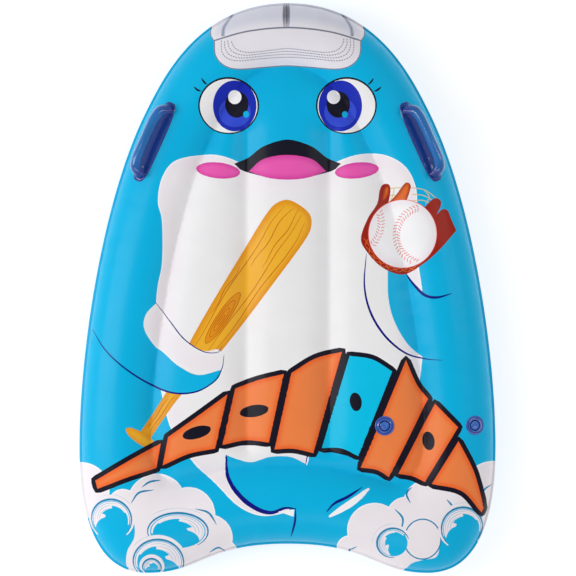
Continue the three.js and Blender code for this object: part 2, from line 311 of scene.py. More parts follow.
def inside(points: Array, outline: Array) -> Array:
    """Says which points lie inside a closed outline.

    Args:
        points: The points to test.
        outline: The closed outline.

    Returns:
        One true or false for each point.
    """
    low, high = outline.min(0), outline.max(0)
    near = np.flatnonzero(((points >= low) & (points <= high)).all(1))
    x, y = points[near, 0], points[near, 1]
    hit = np.zeros(len(near), bool)
    for a, b in zip(outline, np.roll(outline, -1, 0)):
        if a[1] == b[1]:
            continue
        crosses = (a[1] > y) != (b[1] > y)
        hit ^= crosses & (x < (b[0] - a[0]) * (y - a[1]) / (b[1] - a[1]) + a[0])
    result = np.zeros(len(points), bool)
    result[near[hit]] = True
    return result


def edge_distance(points: Array, outline: Array) -> Array:
    """Measures how far each point is from a closed outline.

    Args:
        points: The points to measure.
        outline: The closed outline.

    Returns:
        One distance for each point, in millimetres.
    """
    best = np.full(len(points), np.inf)
    for a, b in zip(outline, np.roll(outline, -1, 0)):
        run = b - a
        share = np.clip(((points - a) @ run) / (run @ run + NEVER_ZERO), 0, 1)
        best = np.minimum(best, np.hypot(*(points - a - share[:, None] * run).T))
    return best


@dataclass
class Nearest:
    """What a closed curve answers about a set of points."""

    distance: Array
    inward: Array
    along: Array
    foot: Array


class ClosedCurve:
    """A closed plan line, the same on both sides of the long axis."""

    def __init__(self, half: Sequence[Sequence[Point]], spacing: float = 0.8) -> None:
        """Builds the curve.

        Args:
            half: Cubic curves from the tail's middle round the right side to the nose.
            spacing: The spacing of its stored points, in millimetres.
        """
        right = np.vstack([bezier(run, 240)[:-1] for run in half] + [[half[-1][-1]]])
        loop = np.vstack([right, right[::-1][1:-1] * (-1.0, 1.0)])
        self.points = even(loop, spacing, True)
        ahead = np.roll(self.points, -1, 0) - np.roll(self.points, 1, 0)
        self.tangents = ahead / np.linalg.norm(ahead, axis=1)[:, None]
        self.normals = np.column_stack([-self.tangents[:, 1], self.tangents[:, 0]])
        steps = np.linalg.norm(np.roll(self.points, -1, 0) - self.points, axis=1)
        self.step = float(steps.mean())
        self.length = float(steps.sum())
        self.tree = plant(self.points)

    def nearest(self, points: Array) -> Nearest:
        """Finds the closest place on the curve to each point.

        Args:
            points: Plan points, one row each.

        Returns:
            The signed distance (positive inside), inward direction, arc length and foot.
        """
        find = self.tree.find
        index = np.array([find((x, y, 0.0))[1] for x, y in points.tolist()])
        ahead = self.tangents[index]
        slide = np.clip(((points - self.points[index]) * ahead).sum(1), -self.step, self.step)
        share = (slide / self.step)[:, None]
        after = self.normals[(index + 1) % len(self.points)]
        before = self.normals[index - 1]
        here = self.normals[index]
        normal = np.where(share > 0, here + (after - here) * share, here + (here - before) * share)
        normal /= np.linalg.norm(normal, axis=1)[:, None]
        foot = self.points[index] + ahead * slide[:, None]
        distance = ((points - foot) * normal).sum(1)
        return Nearest(distance, normal, index * self.step + slide, foot)


# ---------------------------------------------------------------- the blown-up film


@dataclass
class Pucker:
    """Small gathers that a weld pulls into blown-up film, the same round trip after trip."""

    depth: float  # height of the gathers, in millimetres
    reach: float  # how far from the weld they fade
    waves: tuple[int, ...]  # how many times each wave goes round
    seed: int
    flat: float = 2.5  # how near the weld they begin, in millimetres

    def height(self, along: Array, length: float, away: Array) -> Array:
        """Works out how far the gathers lift the film.

        Args:
            along: Arc length of each point along the weld.
            length: The whole length of the weld.
            away: How far each point is from the weld.

        Returns:
            The lift in millimetres.
        """
        random = np.random.default_rng(self.seed)
        phase = random.uniform(0, 2 * math.pi, len(self.waves) + 2)
        turn = 2 * math.pi * along / length
        total = sum(np.sin(n * turn + phase[k]) / (1 + 0.25 * k) for k, n in enumerate(self.waves))
        patchy = 0.55 + 0.45 * np.sin(7 * turn + phase[-1]) * np.sin(11 * turn + phase[-2])
        fade = np.exp(-away / self.reach) * (1 - np.exp(-away / self.flat))
        return self.depth * total / len(self.waves) * patchy * fade


@dataclass
class FilmSurface:
    """The shape that the welded film takes when both chambers are full."""

    bulge: float = 13.5  # rise of the core's film between its welds, in millimetres
    bulge_reach: float = 29.0  # how far from a weld the film levels off
    bulge_share: float = 0.9  # the part of the levelling-off that counts as the full rise
    beam_span: float = 1000.0  # length over which a beam's gathers repeat
    wave: float = 0.9  # height of the rim's wave
    wave_counts: tuple[int, int] = (19, 31)
    wave_reach: float = 7.0  # how far in from the rim the wave fades
    outline: ClosedCurve = field(default_factory=lambda: ClosedCurve(OUTLINE))
    wall: ClosedCurve = field(default_factory=lambda: ClosedCurve(WALL))
    seam_gathers: Pucker = field(default_factory=lambda: Pucker(2.1, 15.0, (61, 83, 109, 127), 4))
    wall_gathers: Pucker = field(default_factory=lambda: Pucker(1.1, 12.0, (37, 53, 71), 9))
    beam_gathers: Pucker = field(default_factory=lambda: Pucker(0.7, 10.0, (17, 23, 31), 15))

    def to_sheet(self, plan: Array) -> Array:
        """Unrolls plan points onto the flat sheet, where the steep flank has its true width.

        Args:
            plan: Plan points in millimetres.

        Returns:
            The same points on the flat sheet.
        """
        near = self.outline.nearest(plan)
        d = near.distance
        turn = np.arccos(np.clip(1 - (d - SEAM) / UNROLL, 0, 1))
        run = np.where(d < SEAM, d, np.where(d < SEAM + UNROLL, SEAM + UNROLL * turn, d + SHIFT))
        return near.foot + near.inward * (run - SHIFT)[:, None]

    def to_plan(self, sheet: Array) -> Array:
        """Rolls points of the flat sheet back to where they lie in plan.

        Args:
            sheet: Points of the flat sheet.

        Returns:
            The same points in plan.
        """
        near = self.outline.nearest(sheet)
        run = near.distance + SHIFT
        turn = np.clip((run - SEAM) / UNROLL, 0, math.pi / 2)
        deep = SEAM + UNROLL * (1 - np.cos(turn))
        d = np.where(run < SEAM, run, np.where(run < SEAM + UNROLL * math.pi / 2, deep, run - SHIFT))
        return near.foot + near.inward * d[:, None]

    def place(self, plan: Array) -> Array:
        """Lifts plan points to the upper film.

        Args:
            plan: Plan points in millimetres.

        Returns:
            Points in space, in millimetres.
        """
        rim = self.outline.nearest(plan)
        weld = self.wall.nearest(plan)
        deep = np.maximum(rim.distance - SEAM, 0)
        out = np.maximum(-weld.distance, 0)
        share = deep / (deep + out + NEVER_ZERO)
        cos = 1 - share * (1 - math.cos(WALL_ANGLE))
        sin = np.sqrt(np.maximum(1 - cos**2, 0))
        rise = (MIDDLE - HALF_WELD) / math.sin(CREST_ANGLE)
        height = MIDDLE + HALF_WELD + rise * sin
        into = np.maximum(weld.distance, 0)
        height = np.where(weld.distance > 0, MIDDLE + HALF_WELD + rise * math.sin(WALL_ANGLE), height)
        span = np.clip(plan[:, 1], *BEAM_ENDS)
        beams = [np.hypot(plan[:, 0] - x, plan[:, 1] - span) for x in (BEAM_X, -BEAM_X)]
        soft = [np.hypot(beam, WELD_ROUND) - WELD_ROUND for beam in beams]
        free = (into + 1e-3) ** -2 + sum((beam + 1e-3) ** -2 for beam in soft)
        height = height + (into > 0) * self.bulge * np.tanh(free**-0.5 / self.bulge_reach) / self.bulge_share
        lift = self.seam_gathers.height(rim.along, self.outline.length, deep)
        lift = lift + self.wall_gathers.height(weld.along, self.wall.length, np.abs(weld.distance))
        for beam in beams:
            gathers = self.beam_gathers.height(plan[:, 1] + self.beam_span / 2, self.beam_span, beam)
            lift = lift + gathers * (into > 0)
        ring = (weld.distance <= 0)[:, None]
        away = np.where(ring, -rim.inward * cos[:, None], 0.0)
        flat = plan + away * lift[:, None]
        up = height + lift * np.where(ring[:, 0], sin, 1.0)
        return np.column_stack([flat, up])

    def rim_wave(self, sheet: Array) -> Array:
        """Works out how the welded rim, both films together, waves up and down.

        Args:
            sheet: Points of the flat sheet.

        Returns:
            The rise of each point, in millimetres.
        """
        rim = self.outline.nearest(sheet)
        turn = 2 * math.pi * rim.along / self.outline.length
        fade = np.exp(-np.maximum(rim.distance + SHIFT, 0) / self.wave_reach)
        slow, fast = self.wave_counts
        return self.wave * np.sin(slow * turn) * np.sin(fast * turn + 1.0) * fade

    def from_sheet(self, sheet: Array) -> Array:
        """Places points of the flat sheet in space."""
        return self.place(self.to_plan(sheet))

    def normals(self, sheet: Array, reach: float = 1.0) -> Array:
        """Finds the smooth surface direction at points of the flat sheet.

        Args:
            sheet: Points of the flat sheet.
            reach: How far to each side the surface is felt, in millimetres.

        Returns:
            Unit directions out of the upper film.
        """
        east, north = np.array([reach, 0.0]), np.array([0.0, reach])
        across = self.from_sheet(sheet + east) - self.from_sheet(sheet - east)
        along = self.from_sheet(sheet + north) - self.from_sheet(sheet - north)
        normal = np.cross(across, along)
        return normal / (np.linalg.norm(normal, axis=1)[:, None] + NEVER_ZERO)

    def meet(self, origin: Array, axis: Array) -> Array:
        """Finds where a line passes through the upper film.

        Args:
            origin: A point on the line, near the film.
            axis: The line's direction, mostly upward.

        Returns:
            The point on the film.
        """
        point = origin.copy()
        for _ in range(8):
            gap = self.place(point[None, :2])[0, 2] - point[2]
            point = point + axis * gap / axis[2]
        return point


# ---------------------------------------------------------------- inks and the print


class Ink(Enum):
    """The printing inks, as screen colours from 0 to 1."""

    SEA = (0.0, 0.705, 0.895)
    SHALLOW = (0.0, 0.76, 0.92)
    CREAM = (0.945, 0.94, 0.945)
    LILAC = (0.945, 0.92, 0.94)
    NIGHT = (0.065, 0.06, 0.13)
    NAVY = (0.02, 0.05, 0.50)
    EYE = (0.09, 0.17, 0.70)
    EYE_GLOW = (0.20, 0.30, 0.82)
    ROSE = (0.925, 0.36, 0.70)
    ROSE_DEEP = (0.86, 0.27, 0.64)
    HONEY = (0.945, 0.70, 0.18)
    HONEY_DEEP = (0.90, 0.585, 0.10)
    GRAIN = (0.78, 0.40, 0.05)
    RUST = (0.62, 0.13, 0.07)
    RUST_LIGHT = (0.88, 0.42, 0.13)
    CORD = (0.86, 0.76, 0.56)
    RED_THREAD = (0.90, 0.36, 0.33)
    ORANGE = (0.95, 0.52, 0.28)
    ORANGE_DEEP = (0.95, 0.40, 0.16)
    CAP = (0.915, 0.90, 0.93)
    CAP_DEEP = (0.835, 0.845, 0.895)
    CAP_SEAM = (0.69, 0.71, 0.79)
    THREAD = (0.47, 0.49, 0.56)
    WATER = (0.05, 0.53, 0.71)
    MIST = (0.73, 0.80, 0.88)
    WHITE = (0.97, 0.97, 0.98)

    @property
    def light(self) -> Array:
        """The ink as light amounts, which shaders work in."""
        value = np.array(self.value)
        return np.where(value <= 0.04045, value / 12.92, ((value + 0.055) / 1.055) ** 2.4)


@dataclass(frozen=True)
class InkArea:
    """One printed shape, with an optional softer colour inside its edge."""

    outline: Array
    ink: Ink
    rim: Optional[Ink] = None
    reach: float = FADE


@dataclass
class PrintDesign:
    """The picture on the upper film: a plain sea animal with bat, ball, mitt, cap and surf."""

    areas: list[InkArea] = field(default_factory=list)

    def lay(self, outline: Array, ink: Ink, rim: Optional[Ink] = None, reach: float = FADE) -> None:
        """Prints one shape over what is already there.

        Args:
            outline: The closed outline.
            ink: The ink inside.
            rim: The ink at the edge, where it is another one.
            reach: How far in from the edge the rim's ink fades, in millimetres.
        """
        self.areas.append(InkArea(outline, ink, rim, reach))

    def stroke(self, points: Sequence[Point], width: float, ink: Ink, taper: float = 0.0) -> None:
        """Prints a smooth drawn line through points.

        Args:
            points: The points in order.
            width: The line's full width, in millimetres.
            ink: Its ink.
            taper: The share of the width that is lost at both ends.
        """
        self.lay(ribbon(open_line(points), width, taper), ink)

    def both(self, outline: Array, ink: Ink, rim: Optional[Ink] = None, reach: float = FADE) -> None:
        """Prints one shape and its mirror image.

        Args:
            outline: The closed outline on one side.
            ink: The ink inside.
            rim: The ink at the edge, where it is another one.
            reach: How far in from the edge the rim's ink fades.
        """
        self.lay(outline, ink, rim, reach)
        self.lay(mirror(outline), ink, rim, reach)

    def draw(self) -> list[InkArea]:
        """Prints the whole picture.

        Returns:
            Its shapes, the lowest first.
        """
        for part in (
            self.surf, self.body, self.tail, self.bat, self.flippers,
            self.mitt, self.face, self.cap, self.blocks,
        ):
            part()
        return self.areas

    def surf(self) -> None:
        """Prints the breaking waves in the two tail corners."""
        edge = (
            (-306, -302, 38), (-246, -322, 20), (-196, -322, 42), (-148, -338, 38), (-118, -374, 34),
            (-98, -398, 20), (130, -362, 39), (178, -344, 30), (212, -326, 38), (256, -330, 34),
            (304, -300, 38), (94, -390, 18),
        )
        fill = (
            (-262, -372, 62), (-190, -385, 62), (-146, -400, 40),
            (195, -385, 58), (255, -375, 64), (140, -396, 34),
        )
        for x, y, radius in edge:
            self.lay(oval(x, y, radius + 1.8, radius + 1.8), Ink.WHITE)
        for x, y, radius in edge + fill:
            self.lay(oval(x, y, radius, radius), Ink.LILAC)
        for points in (
            ((-268, -312), (-258, -322), (-262, -334)), ((-234, -322), (-222, -306), (-200, -302)),
            ((-218, -298), (-206, -290), (-190, -288)), ((-138, -330), (-118, -336), (-106, -354)),
            ((-118, -398), (-104, -390), (-94, -398)), ((160, -330), (172, -344), (170, -362)),
            ((184, -322), (178, -308), (186, -298)), ((286, -318), (296, -302), (308, -296)),
            ((104, -388), (92, -398), (96, -410)), ((238, -316), (246, -326), (244, -334)),
        ):
            self.stroke(points, 3.0, Ink.WATER, 0.85)
        for points in (
            (
                (-306, -356), (-290, -350), (-262, -352), (-233, -346), (-229, -372),
                (-240, -394), (-242, -420), (-230, -450), (-306, -450),
            ),
            (
                (170, -452), (182, -418), (202, -408), (224, -402), (232, -372),
                (262, -362), (296, -354), (306, -392), (284, -452),
            ),
        ):
            outline = through(points)
            self.lay(grow(outline, 2.4), Ink.WHITE)
            self.lay(outline, Ink.SEA)
        self.lay(oval(202, -376, 28.5, 31.5), Ink.WATER)
        self.lay(oval(202, -376, 26.5, 29.5), Ink.LILAC)
        for curl in (
            (-264, -347, 30, -14, 1, 1.0), (-164, -364, 27, 186, -1, 1.62), (-194, -411, 34, 196, -1, 1.08),
            (-204, -420, 13, -20, 1, 1.0), (262, -360, 31, -12, 1, 1.0), (158, -382, 22, 40, 1, 1.05),
        ):
            self.curl(*curl)

    def curl(self, x: float, y: float, radius: float, start: float, hand: int, wide: float) -> None:
        """Prints one curling wave: a deep pocket under a crest that breaks into fingers of foam.

        Args:
            x: Middle of the curl.
            y: Middle of the curl.
            radius: Its outer size.
            start: Where the crest begins, in degrees.
            hand: 1 turns to the left and -1 to the right.
            wide: How much wider than high the curl is.
        """
        samples = 90

        def bow(size: Array | float, first: float, last: float, lean: Array | float = 0.0) -> Array:
            """Draws one arc of the curl.

            Args:
                size: Its radius, the same all along or one for each sample.
                first: Where it begins, in degrees from the crest's start.
                last: Where it ends.
                lean: Degrees that each sample is turned back by.

            Returns:
                The arc's samples.
            """
            turn = np.radians(start + hand * (np.linspace(first, last, samples) - lean))
            return np.column_stack([x + wide * size * np.cos(turn), y + size * np.sin(turn)])

        self.lay(ribbon(bow(radius + 7.5, 50, 140), 1.3, 0.9), Ink.MIST)
        self.lay(ribbon(bow(radius + 2.2, -30, 242), 11.0, 0.9), Ink.LILAC)
        self.lay(oval(x, y, wide * (radius - 1.4), radius - 1.4), Ink.SEA)
        self.lay(ribbon(bow(radius + 0.8, -24, 236), 3.2, 0.75), Ink.WATER)
        share = np.linspace(0, 1, samples)
        close = np.clip((1 - share) / 0.1, 0, 1)
        tooth = 1 - (3.4 * share + 0.3) % 1.0
        depth = radius * close * (0.05 + 0.44 * share ** 1.5 + 0.26 * share * tooth)
        outer, sweep = radius - 2.4, 222
        crest = np.vstack([bow(outer, 0, sweep), bow(outer - depth, 0, sweep, 40 * depth / radius)[::-1]])
        self.lay(even(crest if hand > 0 else crest[::-1], 1.6, True), Ink.LILAC)
        for k in range(3):
            first = 84 + 22 * k
            self.lay(ribbon(bow(radius * (0.84 - 0.12 * k), first, 208 - 5 * k), 1.2, 0.8), Ink.MIST)

    def body(self) -> None:
        """Prints the pale belly."""
        outline = through(
            (
                (0, 165), (45, 172), (78, 189), (112, 199), (146, 197), (175, 180), (190, 150), (192, 112),
                (194, 40), (200, -8), (202, -70), (194, -150), (168, -213), (112, -226), (62, -222),
                (36, -240), (28, -264), (6, -300), (0, -334), (-38, -339), (-72, -325), (-106, -292),
                (-138, -262), (-172, -212), (-190, -140), (-196, -70), (-194, -8), (-186, 40), (-186, 100),
                (-192, 130), (-186, 164), (-168, 188), (-132, 197), (-104, 197), (-76, 188), (-45, 172),
            ),
            corners=(16, 18),
        )
        self.lay(grow(outline[::-1], 1.8), Ink.WHITE)
        self.lay(outline, Ink.CREAM, Ink.LILAC, 42.0)

    def tail(self) -> None:
        """Prints the tail fin that rises over the lower belly."""
        lobe = through(
            (
                (-92, -250), (-88, -286), (-68, -313), (-44, -330), (-22, -336), (-2, -328), (14, -332),
                (24, -318), (34, -290), (28, -264), (4, -253), (-26, -253), (-53, -261), (-74, -257),
            ),
            corners=(0, 6, 9),
        )
        self.lay(lobe, Ink.SEA)
        edge = ((-92, -250), (-89, -284), (-70, -312), (-46, -330), (-24, -336), (-4, -329), (12, -330))
        self.stroke(edge, 7.0, Ink.NAVY, 0.78)
        self.lay(through(((-14, -334), (10, -331), (9, -342)), corners=(0, 1, 2)), Ink.WHITE)
        self.stroke(((12, -328), (11, -350), (5, -374)), 3.4, Ink.NAVY, 0.9)
        self.stroke(((62, -342), (80, -331), (100, -318), (122, -300)), 10.0, Ink.WHITE, 0.75)
        self.stroke(((58, -335), (70, -322), (90, -312), (112, -298)), 4.4, Ink.NAVY, 0.8)
        self.stroke(((27, -264), (34, -244), (60, -226)), 2.6, Ink.NAVY, 0.85)

    def bat(self) -> None:
        """Prints the wooden bat."""
        knob, tip = np.array((-214.0, -222.0)), np.array((18.0, 122.0))
        ahead = (tip - knob) / np.linalg.norm(tip - knob)
        side = np.array((-ahead[1], ahead[0]))
        length = float(np.linalg.norm(tip - knob))
        shares = np.array((0.0, 0.1, 0.2, 0.34, 0.5, 0.72, 0.9, 0.965, 1.0))
        halves = np.array((9.0, 9.0, 11.0, 21.0, 27.0, 32.0, 35.0, 31.0, 16.0))

        def at(share: float, out: float) -> Point:
            """Finds a place on the bat.

            Args:
                share: How far along it is from the knob to the tip, 0 to 1.
                out: How far it is to the left of the middle line.

            Returns:
                The place in plan.
            """
            return tuple(knob + ahead * share * length + side * out)

        right = [at(share, -half) for share, half in zip(shares, halves)]
        left = [at(share, half) for share, half in zip(shares[::-1], halves[::-1])]
        self.lay(through(right + left, corners=(0, 17)), Ink.HONEY, Ink.HONEY_DEEP, 12.0)
        end = oval(knob[0] - 4, knob[1] - 4, 28, 8.5, math.degrees(math.atan2(side[1], side[0])))
        self.lay(end, Ink.HONEY, Ink.HONEY_DEEP, 6.0)
        for out, first, last in (
            (0.62, 0.36, 0.97), (0.3, 0.72, 0.985), (-0.35, 0.36, 0.98), (-0.68, 0.4, 0.96),
            (0.75, 0.5, 0.7), (-0.1, 0.74, 0.99), (0.3, 0.03, 0.16), (-0.3, 0.02, 0.18),
        ):
            line = []
            for k in range(9):
                share = first + (last - first) * k / 8
                half = float(np.interp(share, shares, halves))
                line.append(at(share, half * (out + 0.05 * math.sin(5 * k + 9 * out))))
            self.stroke(line, 1.3, Ink.GRAIN, 0.6)
        turn = math.degrees(math.atan2(ahead[1], ahead[0]))
        for size in (1.0, 0.72, 0.46, 0.22):
            x, y = at(0.5 + 0.012 * size, 2.0)
            self.lay(oval(x, y, 46 * size, 9.5 * size, turn), Ink.GRAIN)
            self.lay(oval(x, y, 46 * size - 1.3, 9.5 * size - 1.2, turn), Ink.HONEY_DEEP)

    def flippers(self) -> None:
        """Prints both flippers with their pale undersides and drawn edges."""
        cuff = through(
            (
                (-196, -22), (-212, -40), (-214, -62), (-196, -90), (-164, -116), (-134, -130),
                (-102, -126), (-96, -106), (-104, -92), (-126, -94), (-154, -77), (-176, -50),
            ),
            corners=(0,),
        )
        self.lay(cuff, Ink.LILAC, Ink.CREAM, 10.0)
        fold = ((-198, -21), (-176, -50), (-154, -77), (-126, -95), (-104, -96), (-99, -87))
        self.stroke(fold, 1.8, Ink.NAVY, 0.7)
        pad = through(
            (
                (-292, -64), (-240, -78), (-196, -90), (-164, -116), (-134, -130), (-98, -122),
                (-106, -138), (-130, -153), (-162, -158), (-206, -144), (-250, -114),
            ),
            corners=(0, 5),
        )
        self.lay(pad, Ink.SEA)
        hem = (
            (-294, -62), (-268, -98), (-226, -132), (-180, -155), (-140, -156), (-110, -140), (-98, -120),
            (-95, -100),
        )
        self.stroke(hem, 2.8, Ink.NAVY, 0.75)
        arm = through(
            (
                (150, 26), (151, -15), (160, -50), (180, -84), (208, -108),
                (250, -108), (250, -6), (203, -8), (186, 8), (174, 26),
            ),
            corners=(0, 4, 5, 6),
        )
        self.lay(arm, Ink.SEA)
        under = ((118, 52), (115, 4), (124, -36), (146, -72), (176, -97), (206, -106), (232, -108))
        self.stroke(under, 3.4, Ink.NAVY, 0.85)
        self.stroke(((176, 24), (190, 4), (206, -11), (224, -14), (246, -8)), 4.4, Ink.NAVY, 0.85)

    def mitt(self) -> None:
        """Prints a leather mitt that holds a stitched ball."""
        for points in (
            ((146, 148), (166, 150), (182, 148)), ((146, 138), (164, 139), (180, 136)),
            ((146, 129), (160, 131), (174, 130)), ((160, 150), (158, 140), (154, 128)),
            ((184, 150), (206, 146), (228, 130)), ((186, 140), (204, 138), (222, 128)),
            ((184, 130), (202, 131), (218, 124)), ((204, 147), (212, 136), (206, 126)),
        ):
            self.stroke(points, 1.3, Ink.CORD)
        finger = ((150, 126), (163, 140), (176, 157), (184, 154), (182, 142), (176, 126))
        self.lay(through(finger, corners=(0, 5)), Ink.RUST_LIGHT, Ink.RUST, 5.0)
        glove = through(
            (
                (134, 126), (138, 146), (143, 155), (152, 155), (154, 144), (150, 122), (172, 112),
                (204, 120), (219, 134), (229, 131), (229, 122), (223, 110), (232, 118), (240, 116),
                (245, 104), (253, 86), (226, 56), (200, 34), (172, 20), (140, 32), (116, 58), (110, 76),
                (120, 104),
            ),
            corners=(5, 7, 11, 15),
        )
        self.lay(glove, Ink.RUST)
        thumb = through(((141, 128), (145, 150), (152, 151), (150, 136)), corners=(0,))
        self.lay(thumb, Ink.RUST_LIGHT, Ink.RUST, 4.0)
        for k in range(8):
            turn = 190 + 13.0 * k
            low, high = arc(172, 82, 53, turn, turn + 11), arc(172, 82, 58.5, turn - 3, turn + 8)
            self.lay(ribbon(np.array((low[0], high[-1])), 1.2), Ink.RUST_LIGHT)
            self.lay(ribbon(np.array((high[0], low[-1])), 0.9), Ink.RUST_LIGHT)
        ball, size = (172, 81), 50.6
        self.lay(oval(*ball, size + 1, size + 1), Ink.RED_THREAD)
        self.lay(oval(*ball, size, size), Ink.WHITE, Ink.LILAC, 16.0)
        stitch = 4.4
        for x, y, radius, first, last in ((92, 98, 48, -46, 32), (205, 79, 42, 100, 262)):
            count = int(math.radians(last - first) * radius / stitch)
            for k in range(count):
                turn = math.radians(first + (last - first) * (k + 0.5) / count)
                out = np.array((math.cos(turn), math.sin(turn)))
                along = np.array((-out[1], out[0]))
                root = np.array((x, y)) + radius * out
                for side in (1, -1):
                    tip = root + 5.6 * side * out + 2.6 * along
                    if max(np.hypot(*(p - ball)) for p in (root, tip)) < size - 1.6:
                        self.lay(ribbon(np.array((root + 0.7 * side * out, tip)), 1.05), Ink.RED_THREAD)

    def face(self) -> None:
        """Prints a plain animal face: two round eyes, a smile, a tongue and cheeks."""
        left = ((-80, 186), (-58, 196), (-36, 212))
        mouth = left + ((0, 222),) + mirrored(left) + ((62, 174), (0, 162), (-62, 174))
        self.lay(through(mouth, corners=(0, 6)), Ink.NIGHT)
        left = ((-58, 175), (-36, 193))
        tongue = left + ((0, 199),) + mirrored(left) + ((30, 165), (0, 162), (-30, 165))
        self.lay(through(tongue, corners=(0, 4)), Ink.ROSE, Ink.ROSE_DEEP, 10.0)
        self.both(oval(104, 176, 33, 12, 6), Ink.ROSE, Ink.ROSE_DEEP, 7.0)
        self.both(oval(88, 273, 45.5, 42.5), Ink.NIGHT)
        self.both(oval(88, 272.6, 43.1, 40.2), Ink.CREAM)
        self.both(oval(79, 272.6, 32.5, 38), Ink.EYE)
        self.both(oval(79, 263, 24, 22), Ink.EYE_GLOW)
        self.both(oval(76, 275, 17.5, 20), Ink.NIGHT)
        for x in (-79, 69):
            self.lay(oval(x, 286, 10.0, 10.5), Ink.WHITE)
            self.lay(oval(x + 17, 260, 4.5, 5), Ink.SEA)
        for x, y, lean in ((120, 304, 48), (129, 294, 32)):
            tip = (x + 13 * math.cos(math.radians(lean)), y + 13 * math.sin(math.radians(lean)))
            lash = ((x, y), ((x + tip[0]) / 2, (y + tip[1]) / 2 - 1.5), tip)
            self.both(ribbon(open_line(lash), 3.0, 0.8), Ink.NIGHT)

    def cap(self) -> None:
        """Prints a cap at the nose with a sewn peak."""
        side = ((110, 371), (115, 384), (111, 420), (100, 450))
        crown = through(
            ((-60, 384), (0, 389.5), (60, 384)) + side + ((0, 470),) + mirrored(side),
            corners=(3, 6, 8, 11),
        )
        self.lay(grow(crown, 1.4), Ink.THREAD)
        self.lay(crown, Ink.CAP_DEEP, Ink.CAP, 22.0)
        for wide, ink in ((8.0, Ink.CAP_SEAM), (3.2, Ink.CAP), (1.2, Ink.THREAD)):
            self.lay(ribbon(np.array(((-2, 389), (-2, 440))), wide), ink)
        seam = open_line(((97, 377), (95, 392), (84, 412), (80, 430)))
        for wide, ink in ((5.5, Ink.CAP_SEAM), (1.1, Ink.THREAD)):
            self.both(ribbon(seam, wide), ink)
        half = ((109, 370.5), (107, 348), (95, 333.5), (74, 328), (38, 331))
        join = ((-60, 383.5), (0, 389), (60, 383.5))
        peak = through(half + ((0, 334),) + mirrored(half) + join, corners=(0, 10))
        self.lay(grow(peak[::-1], 1.5)[::-1], Ink.THREAD)
        self.lay(peak, Ink.CAP)
        self.stroke(((-109, 370.5),) + join + ((109, 370.5),), 1.8, Ink.THREAD, 0.2)
        for k in range(4):
            reach, low = 99 - 5.0 * k, 339.5 + 4.2 * k
            half = (
                (reach, 373), (reach - 0.5, low + 15), (reach - 8, low + 4.5),
                (reach - 26, low), (reach - 60, low + 3.5),
            )
            line = even(open_line(half + ((0, low + 6),) + mirrored(half)), 1.35, False)
            for first in range(0, len(line) - 3, 3):
                self.lay(ribbon(line[[first, first + 2]], 1.2), Ink.THREAD)

    def blocks(self) -> None:
        """Prints the arched row of blank blocks."""
        top = open_line(
            (
                (-292, -290), (-216, -246), (-140, -196), (-66, -152), (0, -120), (72, -104),
                (140, -114), (194, -148), (238, -194), (270, -252), (298, -338),
            ),
            2.0,
        )
        foot = open_line(
            (
                (-288, -302), (-212, -276), (-136, -246), (-62, -236), (0, -240), (70, -247),
                (124, -262), (176, -282), (226, -296), (264, -310), (296, -342),
            ),
            2.0,
        )
        samples = 180
        share = np.linspace(0, 1, samples)
        top, foot = (
            np.column_stack([np.interp(share, np.linspace(0, 1, len(line)), line[:, k]) for k in (0, 1)])
            for line in (top, foot)
        )

        def spot(share: float, height: float) -> Array:
            """Finds a place in the row.

            Args:
                share: How far along the row it is, 0 to 1.
                height: How high it is between the row's foot and its top.

            Returns:
                The place in plan.
            """
            station = min(int(share * (samples - 1)), samples - 1)
            return foot[station] + (top[station] - foot[station]) * height

        shares = (0.0, 0.17, 0.32, 0.445, 0.56, 0.665, 0.755, 0.84, 1.0)
        lefts = (0.95, 0.96, 1.12, 0.92, 1.02, 1.16, 1.0, 0.95)
        rights = (0.9, 1.1, 0.94, 1.06, 0.98, 0.98, 1.08, 0.9)
        lows = (0.0, 0.0, 0.05, -0.03, 0.03, -0.08, 0.0, 0.0)
        dips = (0.1, 0.03, 0.03, 0.03, 0.03, 0.03, 0.03, 0.1)
        gap = 0.008
        blanks = []
        for first, last, left, right, low, dip in zip(shares[:-1], shares[1:], lefts, rights, lows, dips):
            a, b = first + gap, last - gap
            middle = (a + b) / 2
            bottom = [spot(a, low), spot(middle, low + dip), spot(b, low)]
            crown = [spot(b, right), spot(middle, 1.02), spot(a, left)]
            blanks.append(through(bottom + crown, corners=(0, 2, 3, 5), step=3.0))
        row = np.vstack([foot, (foot + (top - foot) * 0.9)[::-1]])
        self.lay(even(row[:-1], 4.0, True), Ink.NIGHT)
        for outline in blanks:
            self.lay(grow(outline, 7.0), Ink.NIGHT)
        for k, outline in enumerate(blanks):
            self.lay(outline, Ink.SHALLOW if k == 4 else Ink.ORANGE, None if k == 4 else Ink.ORANGE_DEEP, 9.0)
        for k, (x, y) in enumerate(outline.mean(0) for outline in blanks):
            if k in (1, 2):
                self.lay(oval(x, y, 22, 9, 22 - 6 * k), Ink.NIGHT)
            if k in (4, 6):
                self.lay(oval(x, y + 6, 9, 14, 8), Ink.NIGHT)


# ---------------------------------------------------------------- shader effects


